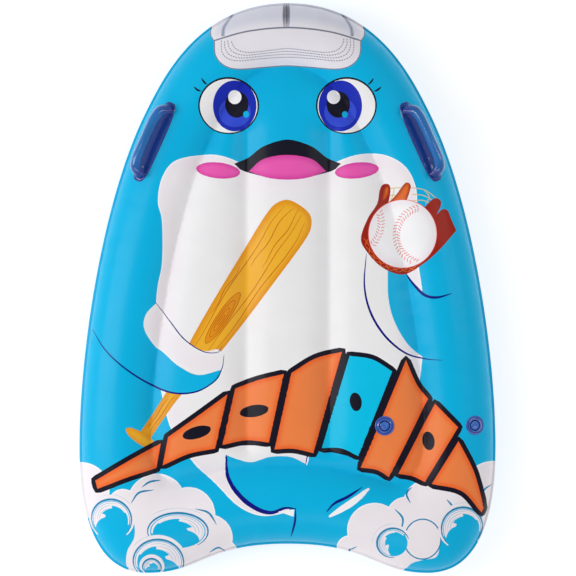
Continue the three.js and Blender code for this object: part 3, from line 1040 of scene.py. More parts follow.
class Board:
    """A node tree with short ways to add and join nodes."""

    def __init__(self, tree: bpy.types.NodeTree) -> None:
        """Takes the tree to work on."""
        self.tree = tree

    def add(self, kind: str, values: Optional[dict] = None, **settings: object) -> bpy.types.Node:
        """Adds a node.

        Args:
            kind: The node's type name.
            values: For inputs by name or place, a constant or another node's output.
            settings: Properties of the node itself.

        Returns:
            The new node.
        """
        node = self.tree.nodes.new(kind)
        for key, value in settings.items():
            setattr(node, key, value)
        for key, value in (values or {}).items():
            if isinstance(value, bpy.types.NodeSocket):
                self.join(value, node.inputs[key])
            else:
                node.inputs[key].default_value = value
        return node

    def sum(self, operation: str, first: object, second: object) -> bpy.types.NodeSocket:
        """Works out one sum of two values.

        Args:
            operation: The sum's name, such as ADD.
            first: A constant or another node's output.
            second: The same.

        Returns:
            The output with the answer.
        """
        return self.add("ShaderNodeMath", {0: first, 1: second}, operation=operation).outputs[0]

    def join(self, source: bpy.types.NodeSocket, target: bpy.types.NodeSocket) -> None:
        """Joins an output to an input."""
        self.tree.links.new(source, target)


class Effects:
    """The shader effects that the finishes share, each a node group made once."""

    def __init__(self) -> None:
        """Makes every group."""
        self.mottle = self.make_mottle()
        self.creases = self.make_creases()
        self.scuffs = self.make_scuffs()

    @staticmethod
    def start(
        name: str, inputs: dict[str, object], output: tuple[str, str],
    ) -> tuple[Board, dict[str, bpy.types.NodeSocket], bpy.types.NodeSocket]:
        """Begins a group with its sockets.

        Args:
            name: The group's name.
            inputs: Each input's name and first value.
            output: The output's name and socket type.

        Returns:
            The board, the sources by name ("Place" is the place on the piece), and the input for the answer.
        """
        tree = bpy.data.node_groups.new(name, "ShaderNodeTree")
        for key, value in inputs.items():
            kind = "NodeSocketColor" if isinstance(value, tuple) else "NodeSocketFloat"
            socket = tree.interface.new_socket(name=key, in_out="INPUT", socket_type=kind)
            socket.default_value = value
        tree.interface.new_socket(name=output[0], in_out="OUTPUT", socket_type=output[1])
        board = Board(tree)
        come = board.add("NodeGroupInput")
        sources = {key: come.outputs[key] for key in inputs}
        sources["Place"] = board.add("ShaderNodeTexCoord").outputs["Object"]
        return board, sources, board.add("NodeGroupOutput").inputs[0]

    def make_mottle(self) -> bpy.types.NodeTree:
        """Makes the slight unevenness of ink and dye.

        Returns:
            The group.
        """
        white = (1.0, 1.0, 1.0, 1.0)
        inputs = {"Color": white, "Amount": 0.05, "Scale": 30.0}
        board, come, answer = self.start("ink_mottle", inputs, ("Color", "NodeSocketColor"))
        cloud = board.add(
            "ShaderNodeTexNoise",
            {"Vector": come["Place"], "Scale": come["Scale"], "Detail": 3.0, "Roughness": 0.6},
        )
        centred = board.sum("SUBTRACT", cloud.outputs[0], 0.5)
        shade = board.sum("ADD", board.sum("MULTIPLY", centred, come["Amount"]), 1.0)
        mix = board.add("ShaderNodeVectorMath", {0: come["Color"], 1: shade}, operation="MULTIPLY")
        board.join(mix.outputs[0], answer)
        return board.tree

    def make_creases(self) -> bpy.types.NodeTree:
        """Makes the faint orange-peel and drawn lines of rolled vinyl film.

        Returns:
            The group.
        """
        inputs = {"Scale": 60.0, "Peel": 0.4}
        board, come, answer = self.start("film_creases", inputs, ("Height", "NodeSocketFloat"))
        stretch = board.add("ShaderNodeMapping", {"Vector": come["Place"], "Scale": (1.0, 0.35, 1.0)})
        wide = board.add(
            "ShaderNodeTexNoise",
            {
                "Vector": stretch.outputs[0], "Scale": come["Scale"],
                "Detail": 2.0, "Roughness": 0.5, "Distortion": 0.6,
            },
        )
        fine = board.add("ShaderNodeTexNoise", {"Vector": come["Place"], "Scale": 900.0, "Detail": 1.0})
        peel = board.sum("MULTIPLY", fine.outputs[0], come["Peel"])
        board.join(board.sum("ADD", wide.outputs[0], peel), answer)
        return board.tree

    def make_scuffs(self) -> bpy.types.NodeTree:
        """Makes the gloss level, a little duller where hands and dust have been.

        Returns:
            The group.
        """
        inputs = {"Clean": 0.3, "Worn": 0.42, "Scale": 14.0}
        board, come, answer = self.start("scuffs", inputs, ("Roughness", "NodeSocketFloat"))
        cloud = board.add(
            "ShaderNodeTexNoise",
            {"Vector": come["Place"], "Scale": come["Scale"], "Detail": 5.0, "Roughness": 0.7},
        )
        spread = board.add(
            "ShaderNodeMapRange",
            {
                "Value": cloud.outputs[0], "From Min": 0.35, "From Max": 0.7,
                "To Min": come["Clean"], "To Max": come["Worn"],
            },
        )
        board.join(spread.outputs[0], answer)
        return board.tree


@dataclass(frozen=True)
class Vinyl:
    """A vinyl finish, printed or dyed."""

    name: str
    colour: tuple[float, float, float] = (0.0, 0.0, 0.0)
    # the darker colour that each vertex's stored amount mixes towards: deeper dye and painted shade
    deep_and_shaded: Optional[tuple[float, float, float]] = None
    printed: bool = False
    clean: float = 0.3
    worn: float = 0.42
    mottle: float = 0.08
    mottle_scale: float = 22.0
    crease_scale: float = 60.0
    crease_depth: float = 0.0004
    coat: float = 0.04
    coat_roughness: float = 0.14
    specular: float = 0.12
    transmission: float = 0.0

    def material(self, effects: Effects) -> bpy.types.Material:
        """Builds the material.

        Args:
            effects: The shared shader groups.

        Returns:
            The finished material.
        """
        material = bpy.data.materials.new(self.name)
        material.use_nodes = True
        tree = material.node_tree
        tree.nodes.clear()
        board = Board(tree)
        mottle = board.add(
            "ShaderNodeGroup",
            {"Color": self.dye(board), "Amount": self.mottle, "Scale": self.mottle_scale},
            node_tree=effects.mottle,
        )
        gloss = {"Clean": self.clean, "Worn": self.worn}
        scuffs = board.add("ShaderNodeGroup", gloss, node_tree=effects.scuffs)
        creases = board.add("ShaderNodeGroup", {"Scale": self.crease_scale}, node_tree=effects.creases)
        bump = board.add(
            "ShaderNodeBump", {"Strength": 0.6, "Distance": self.crease_depth, "Height": creases.outputs[0]}
        )
        skin = board.add(
            "ShaderNodeBsdfPrincipled",
            {
                "Base Color": mottle.outputs[0], "Roughness": scuffs.outputs[0], "Normal": bump.outputs[0],
                "IOR": 1.5, "Specular IOR Level": self.specular, "Coat Weight": self.coat,
                "Coat Roughness": self.coat_roughness, "Transmission Weight": self.transmission,
            },
        )
        board.add("ShaderNodeOutputMaterial", {0: skin.outputs[0]})
        return material

    def dye(self, board: Board) -> bpy.types.NodeSocket | tuple[float, ...]:
        """Finds the colour: the printed inks, the dye, or the dye mixed towards a darker colour for deeper
        dye and painted shade.

        Args:
            board: The material's nodes.

        Returns:
            An output to join, or a constant colour.
        """
        if self.printed:
            return board.add("ShaderNodeAttribute", attribute_name="ink").outputs["Color"]
        if self.deep_and_shaded is None:
            return (*self.colour, 1.0)
        # Each vertex's stored amount mixes the dye towards the darker colour: deeper dye, and painted shade.
        mask = board.add("ShaderNodeAttribute", attribute_name="dye_and_shade")
        values = {0: mask.outputs["Fac"], 6: (*self.colour, 1.0), 7: (*self.deep_and_shaded, 1.0)}
        return board.add("ShaderNodeMix", values, data_type="RGBA").outputs[2]


@dataclass
class Finishes:
    """Every material of the float."""

    effects: Effects = field(default_factory=Effects)

    def __post_init__(self) -> None:
        """Builds the materials."""
        make = self.effects
        self.printed = Vinyl("printed_film", printed=True).material(make)
        self.plain = Vinyl("plain_film", colour=(0.0, 0.43, 0.74)).material(make)
        self.clear = Vinyl("clear_wall", colour=(0.62, 0.78, 0.86), coat=0.1, transmission=0.3).material(make)
        # The handle's darker colour is the deeper dye of the patch and the gathered ends, and painted shade
        # along the grip's inner side.
        self.handle = Vinyl(
            "handle_vinyl", colour=(0.008, 0.145, 0.45), deep_and_shaded=(0.012, 0.032, 0.25),
            clean=0.12, worn=0.2, coat=0.9, coat_roughness=0.05, specular=0.2,
            crease_depth=0.0006, crease_scale=90.0, mottle=0.4,
        ).material(make)
        # The valve's darker colour is painted shade, in its hole and in the flange's groove.
        self.valve = Vinyl(
            "valve_vinyl", colour=(0.03, 0.14, 0.54), deep_and_shaded=(0.014, 0.03, 0.28),
            clean=0.12, worn=0.2, coat=0.6, coat_roughness=0.06, specular=0.5,
            crease_depth=0.0002, mottle=0.2, mottle_scale=160.0,
        ).material(make)
        self.flap = Vinyl("flap_vinyl", colour=(0.25, 0.45, 0.70), clean=0.3, worn=0.4).material(make)


# ---------------------------------------------------------------- mesh helpers


def add_piece(
    name: str, points: Array, faces: Sequence[Sequence[int]], material: bpy.types.Material,
    body: str, node: str,
) -> bpy.types.Object:
    """Makes one piece in place of a CAD node.

    Args:
        name: The piece's name.
        points: Its vertices, in millimetres.
        faces: Its faces, as vertex numbers.
        material: Its finish.
        body: The CAD body that it rides on, or an empty word to leave it on no body.
        node: The CAD node that it stands for.

    Returns:
        The new object.
    """
    mesh = bpy.data.meshes.new(name)
    mesh.from_pydata((points * MM).tolist(), [], [tuple(face) for face in faces])
    mesh.materials.append(material)
    mesh.polygons.foreach_set("use_smooth", [True] * len(mesh.polygons))
    mesh.update()
    piece = bpy.data.objects.new(name, mesh)
    bpy.context.scene.collection.objects.link(piece)
    if body:
        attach(piece, body)
    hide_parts(node)
    LOG.info("%s: %d vertices, %d faces", name, len(points), len(faces))
    return piece


def set_dye_and_shade(piece: bpy.types.Object, values: Array) -> None:
    """Stores how far each vertex is mixed towards the darker colour, for deeper dye and for painted shade.

    Args:
        piece: The piece.
        values: One amount for each vertex, 0 to 1.
    """
    attribute = piece.data.attributes.new("dye_and_shade", "FLOAT", "POINT")
    attribute.data.foreach_set("value", values.astype(np.float32))


def tube_faces(rings: int, around: int, closed: bool = False) -> list[tuple[int, ...]]:
    """Lists the quads between rings of vertices.

    Args:
        rings: How many rings there are.
        around: Vertices in each ring.
        closed: Whether the last ring joins the first.

    Returns:
        The faces.
    """
    faces = []
    for ring in range(rings if closed else rings - 1):
        a, b = ring * around, (ring + 1) % rings * around
        for k in range(around):
            after = (k + 1) % around
            faces.append((a + k, a + after, b + after, b + k))
    return faces


def capped_tube(rings: int, around: int) -> list[tuple[int, ...]]:
    """Lists the quads between rings of vertices, and a cap at each end.

    Args:
        rings: How many rings there are.
        around: Vertices in each ring.

    Returns:
        The faces.
    """
    faces = tube_faces(rings, around)
    faces.append(tuple(range(around))[::-1])
    faces.append(tuple(range((rings - 1) * around, rings * around)))
    return faces


# ---------------------------------------------------------------- the sheets


@dataclass
class Sheet:
    """One of the two welded films."""

    film: FilmSurface
    finish: bpy.types.Material
    name: str
    slot: str
    spacing: float = 4.6
    areas: Sequence[InkArea] = ()
    holes: Sequence[Point] = ()
    hole_radius: float = 9.5
    under: bool = False
    row_share: float = 0.866  # spacing of the rows, as a share of the spacing in a row
    clear_share: float = 0.38  # how clear of the lines the filling points stay

    def build(self) -> bpy.types.Object:
        """Builds the film.

        Returns:
            The finished piece.
        """
        sheet, faces, outlines = self.triangulate()
        points = self.film.from_sheet(sheet)
        normals = self.film.normals(sheet)
        points, faces, normals, sheet = self.lip(points, faces, normals, sheet)
        if self.under:
            points = points * (1, 1, -1) + (0, 0, 2 * MIDDLE)
            points[:, 2] = np.maximum(points[:, 2], 0.0)
            normals = normals * (1, 1, -1)
            faces = faces[:, ::-1]
        points[:, 2] += self.film.rim_wave(sheet)
        name = f"{self.name}_film"
        piece = add_piece(name, points, faces.tolist(), self.finish, "float_body", self.name)
        if self.areas:
            self.ink(piece, sheet, faces, outlines)
        piece.data.normals_split_custom_set_from_vertices(normals.tolist())
        return piece

    def triangulate(self) -> tuple[Array, Array, list[Array]]:
        """Divides the flat sheet along its welds and inks.

        Returns:
            The flat points, the triangles, and each ink's outline on the flat sheet.
        """
        film = self.film
        stations = film.outline.points[:: max(int(self.spacing / film.outline.step), 1)]
        near = film.outline.nearest(stations)
        rim = near.foot - near.inward * SHIFT
        lines = [rim, near.foot - near.inward * (SHIFT - SEAM)]
        lines.append(film.to_sheet(film.wall.points[:: max(int(self.spacing / film.wall.step), 1)]))
        radius = self.hole_radius
        lines += [film.to_sheet(oval(x, y, radius, radius, step=1.5)) for x, y in self.holes]
        outlines = [film.to_sheet(area.outline) for area in self.areas]
        lines += outlines
        edges, start = [], 0
        for line in lines:
            count = len(line)
            edges += [(start + k, start + (k + 1) % count) for k in range(count)]
            start += count
        for x in (BEAM_X, -BEAM_X):
            beam = even(np.array(((x, BEAM_ENDS[0]), (x, BEAM_ENDS[1]))), self.spacing, False)
            lines.append(beam)
            edges += [(start + k, start + k + 1) for k in range(len(beam) - 1)]
            start += len(beam)
        fixed = np.vstack(lines)
        everything = np.vstack([fixed, self.seeds(rim, fixed)])
        result = geometry.delaunay_2d_cdt([Vector(p) for p in everything.tolist()], edges, [], 0, 1e-3)
        flat = np.array([tuple(p) for p in result[0]])
        faces = np.array([f for f in result[2] if len(f) == 3])
        middle = flat[faces].mean(1)
        keep = film.outline.nearest(middle).distance + SHIFT > 0
        for hole in lines[3:3 + len(self.holes)]:
            keep &= ~inside(middle, hole)
        faces = faces[keep]
        used, faces = np.unique(faces, return_inverse=True)
        flat, faces = flat[used], faces.reshape(-1, 3)
        a, b, c = (flat[faces[:, k]] for k in range(3))
        area = (b[:, 0] - a[:, 0]) * (c[:, 1] - a[:, 1]) - (b[:, 1] - a[:, 1]) * (c[:, 0] - a[:, 0])
        faces[area < 0] = faces[area < 0][:, ::-1]
        return flat, faces, outlines

    def seeds(self, rim: Array, fixed: Array) -> Array:
        """Spreads the points that fill the flat sheet between its lines.

        Args:
            rim: The sheet's edge.
            fixed: The points of every line, which the others keep clear of.

        Returns:
            The points, in staggered rows.
        """
        low, high = rim.min(0) - 1, rim.max(0) + 1
        rows = []
        for k, y in enumerate(np.arange(low[1], high[1], self.spacing * self.row_share)):
            x = np.arange(low[0] + (k % 2) * self.spacing / 2, high[0], self.spacing)
            rows.append(np.column_stack([x, np.full(len(x), y)]))
        seeds = np.vstack(rows)
        deep = self.film.outline.nearest(seeds).distance + SHIFT
        seeds = seeds[deep > SEAM + 0.5 * self.spacing]
        tree = plant(fixed)
        clear = np.array([tree.find((x, y, 0.0))[2] for x, y in seeds.tolist()])
        return seeds[clear > self.clear_share * self.spacing]

    def lip(
        self, points: Array, faces: Array, normals: Array, sheet: Array,
    ) -> tuple[Array, Array, Array, Array]:
        """Turns the film's cut edge down to the weld line.

        Args:
            points: The film's points.
            faces: Its triangles.
            normals: Its surface directions.
            sheet: Its flat points.

        Returns:
            The same four with the edge added.
        """
        sides = np.vstack([faces[:, [0, 1]], faces[:, [1, 2]], faces[:, [2, 0]]])
        keys = np.sort(sides, axis=1)
        _, first, count = np.unique(keys, axis=0, return_index=True, return_counts=True)
        border = sides[first[count == 1]]
        outside = self.film.outline.nearest(sheet[border[:, 0]]).distance + SHIFT < SEAM
        border = border[outside]
        ring, back = np.unique(border, return_inverse=True)
        back = back.reshape(-1, 2) + len(points)
        drop = points[ring] - (0.0, 0.0, HALF_WELD)
        near = self.film.outline.nearest(points[ring, :2])
        away = np.column_stack([-near.inward, np.zeros(len(ring))])
        quads = np.column_stack([border[:, 0], back[:, 0], back[:, 1], border[:, 1]])
        extra = np.vstack([quads[:, [0, 1, 2]], quads[:, [0, 2, 3]]])
        return (
            np.vstack([points, drop]), np.vstack([faces, extra]),
            np.vstack([normals, away]), np.vstack([sheet, sheet[ring]]),
        )

    def ink(self, piece: bpy.types.Object, sheet: Array, faces: Array, outlines: list[Array]) -> None:
        """Gives every corner of every face its ink.

        Args:
            piece: The film.
            sheet: Its flat points.
            faces: Its triangles.
            outlines: Each ink's outline on the flat sheet.
        """
        middle = sheet[faces].mean(1)
        corners = sheet[faces]
        colours = np.tile(Ink.SEA.light, (len(faces), 3, 1))
        for area, outline in zip(self.areas, outlines):
            chosen = np.flatnonzero(inside(middle, outline))
            if not len(chosen):
                continue
            colours[chosen] = area.ink.light
            if area.rim is not None:
                away = edge_distance(corners[chosen].reshape(-1, 2), outline)
                fade = np.clip(away / area.reach, 0, 1)
                fade = (fade * fade * (3 - 2 * fade))[:, None]
                mixed = area.rim.light * (1 - fade) + area.ink.light * fade
                colours[chosen] = mixed.reshape(-1, 3, 3)
        attribute = piece.data.attributes.new("ink", "FLOAT_VECTOR", "CORNER")
        attribute.data.foreach_set("vector", colours.reshape(-1).astype(np.float32))


# ---------------------------------------------------------------- the handles


@dataclass
class Handle:
    """A wrist handle: a welded patch and a hollow grip that lifts from it."""

    film: FilmSurface
    finish: bpy.types.Material
    side: int
    centre: Point = (204.0, 221.0)
    tilt: float = 24.0  # degrees from the long axis
    length: float = 128.0  # length of the patch
    inner: float = -17.0  # its inner edge, from the handle's middle line
    outer: float = 7.0  # its outer edge
    squareness: float = 3.6  # 2 is an ellipse and more is squarer
    bead: float = 0.9  # height of the bead round it
    out: float = 16.3  # how far outward the grip's middle stands
    rise: float = 8.5  # how far up it stands
    end_size: Point = (9.6, 1.4)  # half the grip's width and height at its ends
    middle_gain: Point = (-2.4, 6.2)  # what its middle has more
    dark_share: float = 0.27  # how much of the grip is dark from each end
    bend: Point = (0.5, 9.0)  # how far from its welded ends the grip starts and stops bending
    ends: tuple[tuple[float, float, float], ...] = ((219.416, 167.216, 102.501), (174.461, 268.227, 103.503))

    @property
    def word(self) -> str:
        """Which side the handle is on."""
        return "right" if self.side > 0 else "left"

    def plan(self, along: Array, out: Array) -> Array:
        """Turns handle coordinates into plan coordinates.

        Args:
            along: Places along the handle, from its middle towards the nose.
            out: Places across it, outward.

        Returns:
            Plan points, always on the right side.
        """
        a = math.radians(self.tilt)
        x = self.centre[0] - math.sin(a) * along + math.cos(a) * out
        y = self.centre[1] + math.cos(a) * along + math.sin(a) * out
        return np.column_stack([x, y])

    def build(self) -> None:
        """Builds the patch and the grip."""
        self.patch()
        self.grip()

    def add(
        self, part: str, node: str, body: str, points: Array, faces: list[tuple[int, ...]], dye_and_shade: Array,
    ) -> bpy.types.Object:
        """Adds a piece of the handle, mirrored where the handle is the left one.

        Args:
            part: The piece's name without its side.
            node: The name of the CAD node that it stands for, without its side.
            body: The CAD body that it rides on, or an empty word to leave it on no body.
            points: Its vertices on the right side.
            faces: Its faces.
            dye_and_shade: How far each vertex is mixed towards the darker colour, for deeper dye and for
                painted shade.

        Returns:
            The new object.
        """
        if self.side < 0:
            points, faces = points * (-1, 1, 1), [face[::-1] for face in faces]
        name, node = f"{self.word}_{part}", f"{self.word}_{node}"
        piece = add_piece(name, points, faces, self.finish, body, node)
        set_dye_and_shade(piece, dye_and_shade)
        return piece

    def patch(self) -> None:
        """Builds the welded patch, with a bead round it and gathers across it."""
        rings, around = 22, 132
        turn = turns(around)
        power = 2 / self.squareness
        bead_place, bead_width, edge_width = 0.93, 0.035, 0.03
        gather, gather_place, gather_width = 0.35, 50, 16
        gap, thickness = 0.15, 0.55
        sx = np.sign(np.cos(turn)) * np.abs(np.cos(turn)) ** power
        sy = np.sign(np.sin(turn)) * np.abs(np.sin(turn)) ** power
        middle, half = (self.inner + self.outer) / 2, (self.outer - self.inner) / 2
        points, dye_and_shade = [], []
        for k in range(rings):
            size = 0.001 + 0.999 * (k / (rings - 1)) ** 0.8
            along, out = sx * size * self.length / 2, middle + sy * size * half
            plan = self.plan(along, out)
            base, normal = self.film.place(plan), self.film.normals(self.film.to_sheet(plan))
            bead = self.bead * math.exp(-((size - bead_place) / bead_width) ** 2)
            edge = min(1.0, (1 - size) / edge_width)
            near_ends = np.exp(-((np.abs(along) - gather_place) / gather_width) ** 2)
            folds = gather * np.sin(along * 0.42 + out * 0.3) * np.sin(math.pi * size) * near_ends
            height = gap + thickness * edge + bead + folds
            points.append(base + normal * height[:, None])
            ends = np.clip((np.abs(along) - 40) / 20, 0, 1)
            dye_and_shade.append(np.clip(0.86 + 0.1 * ends + 0.14 * (size > 0.9), 0, 1))
        faces = tube_faces(rings, around)
        faces.append(tuple(range(around))[::-1])
        self.add("patch", "handle_patch", "float_body", np.vstack(points), faces, np.concatenate(dye_and_shade))

    def spine(self, outward: Array) -> Array:
        """Draws the middle line of the grip.

        Args:
            outward: The direction away from the float's middle.

        Returns:
            The line's points, from the tail end to the nose end.
        """
        low, high = (np.array(end) for end in self.ends)
        half = (
            (1.0, 0.0, 0.0), (0.93, 0.36, 0.42), (0.82, 0.76, 0.82), (0.6, 0.96, 0.98), (0.3, 1.0, 1.0),
            (0.0, 1.0, 1.0),
        )
        shares = half + tuple((-share, out, rise) for share, out, rise in half[-2::-1])
        knots = []
        for share, out, rise in shares:
            base = low + (high - low) * (1 - share) / 2
            knots.append(base + outward * (self.out * out) + np.array((0, 0, self.rise * rise)))
        return catmull(np.array(knots), False, 10)

    def grip(self) -> None:
        """Builds the hollow grip, full in the middle and gathered flat at its two ends, with painted shade
        along its inner side.
        """
        tilt = math.radians(self.tilt)
        outward = np.array((math.cos(tilt), math.sin(tilt), 0.0))
        line = self.spine(outward)
        around = 40
        turn = turns(around)
        seam_height, seam_width, crumple, wobble = 0.07, 0.12, 0.09, 0.008
        points, dye_and_shade = [], []
        for k, (middle, forward) in enumerate(zip(line, directions(line))):
            t = k / (len(line) - 1)
            mid = math.sin(math.pi * t) ** 0.35
            wide, high = (end + gain * mid for end, gain in zip(self.end_size, self.middle_gain))
            side = outward - forward * (outward @ forward)
            side /= np.linalg.norm(side)
            up = np.cross(forward, side)
            up = up if up[2] > 0 else -up
            seam = 1 + seam_height * np.exp(-(np.sin(turn) / seam_width) ** 2)
            ridge = 1 + crumple * (1 - mid) * np.sin(5 * turn + 9 * t) + wobble * np.sin(2 * turn + 23 * t)
            section = wide * np.cos(turn)[:, None] * side + high * np.sin(turn)[:, None] * up
            points.append(middle + (seam * ridge)[:, None] * section)
            # Darker towards both gathered ends, and painted shade along the inner side, which faces the
            # patch.
            dark = np.clip((self.dark_share - min(t, 1 - t)) / 0.2, 0, 1)
            dye_and_shade.append(np.clip(dark + 0.35 * np.clip(-np.cos(turn) - 0.3, 0, 1), 0, 1))
        faces = capped_tube(len(points), around)
        piece = self.add("grip_tube", "grip", "", np.vstack(points), faces, np.concatenate(dye_and_shade))
        toward = outward * self.out + np.array((0, 0, self.rise))
        toward /= np.linalg.norm(toward)
        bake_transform(piece)


# ---------------------------------------------------------------- the valves


@dataclass
class Valve:
    """An air valve pushed down flush: base, boot, stem, plug, strap and flap."""

    film: FilmSurface
    finish: bpy.types.Material
    flap_finish: bpy.types.Material
    name: str
    origin: tuple[float, float, float]
    across: tuple[float, float, float]
    up: tuple[float, float, float]
    around: int = 56  # vertices in each ring

    def __post_init__(self) -> None:
        """Works out the valve's own axes and where they meet the film."""
        x = np.array(self.across) / np.linalg.norm(self.across)
        z = np.array(self.up) / np.linalg.norm(self.up)
        self.axes = np.vstack([x, np.cross(z, x), z])
        self.seat = self.film.meet(np.array(self.origin), z)

    def build(self) -> None:
        """Builds all six pieces on the valve's own axis."""
        self.base()
        self.boot()
        self.stem()
        self.plug()
        self.strap()
        self.flap()

    def lift(self, local: Array) -> Array:
        """Turns valve coordinates into the float's."""
        return self.seat + local @ self.axes

    def lathe(self, profile: Sequence[Point], solid: bool = False) -> tuple[Array, list[tuple[int, ...]]]:
        """Turns a profile about the valve's axis.

        Args:
            profile: Radius and height, in order round the section, or from top to bottom of a solid.
            solid: Whether the profile is open and its two ends are closed with caps.

        Returns:
            Local vertices and faces.
        """
        turn = turns(self.around)
        x, y = np.cos(turn), np.sin(turn)
        local = np.vstack([np.column_stack([r * x, r * y, np.full(self.around, h)]) for r, h in profile])
        if solid:
            return local, [face[::-1] for face in capped_tube(len(profile), self.around)]
        return local, tube_faces(len(profile), self.around, closed=True)

    def add(
        self, part: str, points: Array, faces: list[tuple[int, ...]], body: str, dark: Array | float,
    ) -> bpy.types.Object:
        """Adds a piece of the valve.

        Args:
            part: The piece's own word.
            points: Its vertices, in the float's coordinates.
            faces: Its faces.
            body: The CAD body that it rides on, or an empty word to leave it on no body.
            dark: How far it is mixed towards the darker colour, all over or for each vertex: painted shade,
                heavier the deeper the piece sits and in the flange's groove.

        Returns:
            The new object.
        """
        is_flap = part == "flap"
        finish, slot = (self.flap_finish, "flap_vinyl") if is_flap else (self.finish, "valve_vinyl")
        name, node = f"{self.name}_{part}", f"{self.name}_valve_{part}"
        piece = add_piece(name, points, faces, finish, body, node)
        set_dye_and_shade(piece, np.broadcast_to(np.asarray(dark, float), len(points)))
        return piece

    def bend(self, piece: bpy.types.Object, first: str, second: str, line: Sequence[Sequence[float]]) -> None:
        """Fixes a soft piece's placement into its vertices; nothing makes it bend.

        Args:
            piece: The piece.
            first: The body that its start would follow; not used.
            second: The body that its end would follow; not used.
            line: The start and end of the bend, in valve coordinates; not used.
        """
        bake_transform(piece)

    def base(self) -> None:
        """Builds the welded flange, which follows the film, and its raised lip."""
        profile = (
            (8.2, -2.6), (8.95, -2.6), (8.95, -0.5), (9.6, 0.06), (14.1, 0.06), (14.5, 0.3), (14.4, 0.75),
            (13.8, 1.0), (13.0, 0.75), (12.2, 0.62), (10.8, 0.7), (9.8, 1.15), (9.1, 1.6), (8.5, 1.45),
            (8.2, 0.8),
        )
        local, faces = self.lathe(profile)
        points = self.lift(local)
        radius = np.hypot(local[:, 0], local[:, 1])
        ground = self.film.place(points[:, :2])
        normal = self.film.normals(self.film.to_sheet(points[:, :2]))
        follow = ground + normal * local[:, 2:3]
        weight = np.clip((radius - 8.9) / 1.4, 0, 1)[:, None]
        points = points * (1 - weight) + follow * weight
        # Painted shade: the flange is a little darker all over and darker again in the groove between its two
        # lips.
        dark = 0.25 + 0.6 * (np.abs(radius - 11.4) < 1.5)
        self.add("base", points, faces, "float_body", dark)

    def boot(self) -> None:
        """Builds the soft boot that lets the stem rise."""
        profile = (
            (8.15, -1.0), (8.1, -4.0), (7.95, -7.5), (7.6, -9.6), (7.1, -10.3), (6.15, -10.5), (6.15, -9.9),
            (6.9, -9.7), (7.2, -9.2), (7.45, -7.4), (7.55, -4.0), (7.6, -1.0),
        )
        local, faces = self.lathe(profile)
        # Painted shade: the boot, deepest in the hole, is darkest.
        piece = self.add("boot", self.lift(local), faces, "", 0.8)
        self.bend(piece, "float_body", f"{self.name}_stem", ((0, 0, -1.5), (0, 0, -9.5)))

    def stem(self) -> None:
        """Builds the hollow stem."""
        profile = (
            (4.0, -1.6), (4.3, -1.1), (5.6, -1.0), (6.0, -1.4), (6.0, -5.6), (6.1, -6.0), (6.0, -6.4),
            (6.0, -16.4), (5.6, -17.0), (4.3, -17.0), (4.0, -16.6),
        )
        local, faces = self.lathe(profile)
        # Painted shade: the stem, down in the hole, is half darkened.
        self.add("stem", self.lift(local), faces, f"{self.name}_stem", 0.5)

    def plug(self) -> None:
        """Builds the plug with its domed, dished head."""
        profile = (
            (0.01, 0.75), (2.2, 0.72), (2.9, 0.95), (3.6, 1.2), (5.0, 1.3), (6.1, 1.1), (6.65, 0.6),
            (6.75, 0.0), (6.6, -0.6), (6.1, -0.92), (4.3, -0.95), (3.7, -1.3), (3.65, -4.0), (3.35, -4.6),
            (3.6, -5.4), (3.3, -7.9), (2.8, -8.5), (0.01, -8.5),
        )
        local, faces = self.lathe(profile, solid=True)
        # A little painted shade on the plug, which sits at the top.
        self.add("plug", self.lift(local), faces, f"{self.name}_plug", 0.1)

    def strap(self) -> None:
        """Builds the strap that keeps the plug on the stem."""
        path = ((6.1, -0.2), (6.95, -0.5), (7.2, -1.5), (7.1, -3.5), (7.0, -5.8), (6.6, -7.4), (6.0, -8.0))
        line = catmull(np.array(path), False, 5)
        half_wide, half_thick = 1.75, 0.3
        corners = ((-1, -1), (-0.86, -1), (0.86, -1), (1, -1), (1, 1), (0.86, 1), (-0.86, 1), (-1, 1))
        local = []
        for (x, z), (ahead_x, ahead_z) in zip(line, directions(line)):
            for wide, thick in corners:
                out = half_thick * thick
                local.append((x - ahead_z * out, half_wide * wide, z + ahead_x * out))
        faces = capped_tube(len(line), len(corners))
        # Painted shade: the strap, running down beside the stem, is half darkened.
        piece = self.add("strap", self.lift(np.array(local)), faces, "", 0.5)
        self.bend(piece, f"{self.name}_stem", f"{self.name}_plug", ((6.6, 0, -7.4), (6.6, 0, -0.8)))

    def flap(self) -> None:
        """Builds the thin flap that holds the air back."""
        profile = ((0.01, -17.12), (4.6, -17.12), (5.0, -17.3), (4.6, -17.52), (0.01, -17.5))
        local, faces = self.lathe(profile, solid=True)
        self.add("flap", self.lift(local), faces, f"{self.name}_flap", 0.2)


# ---------------------------------------------------------------- the studio


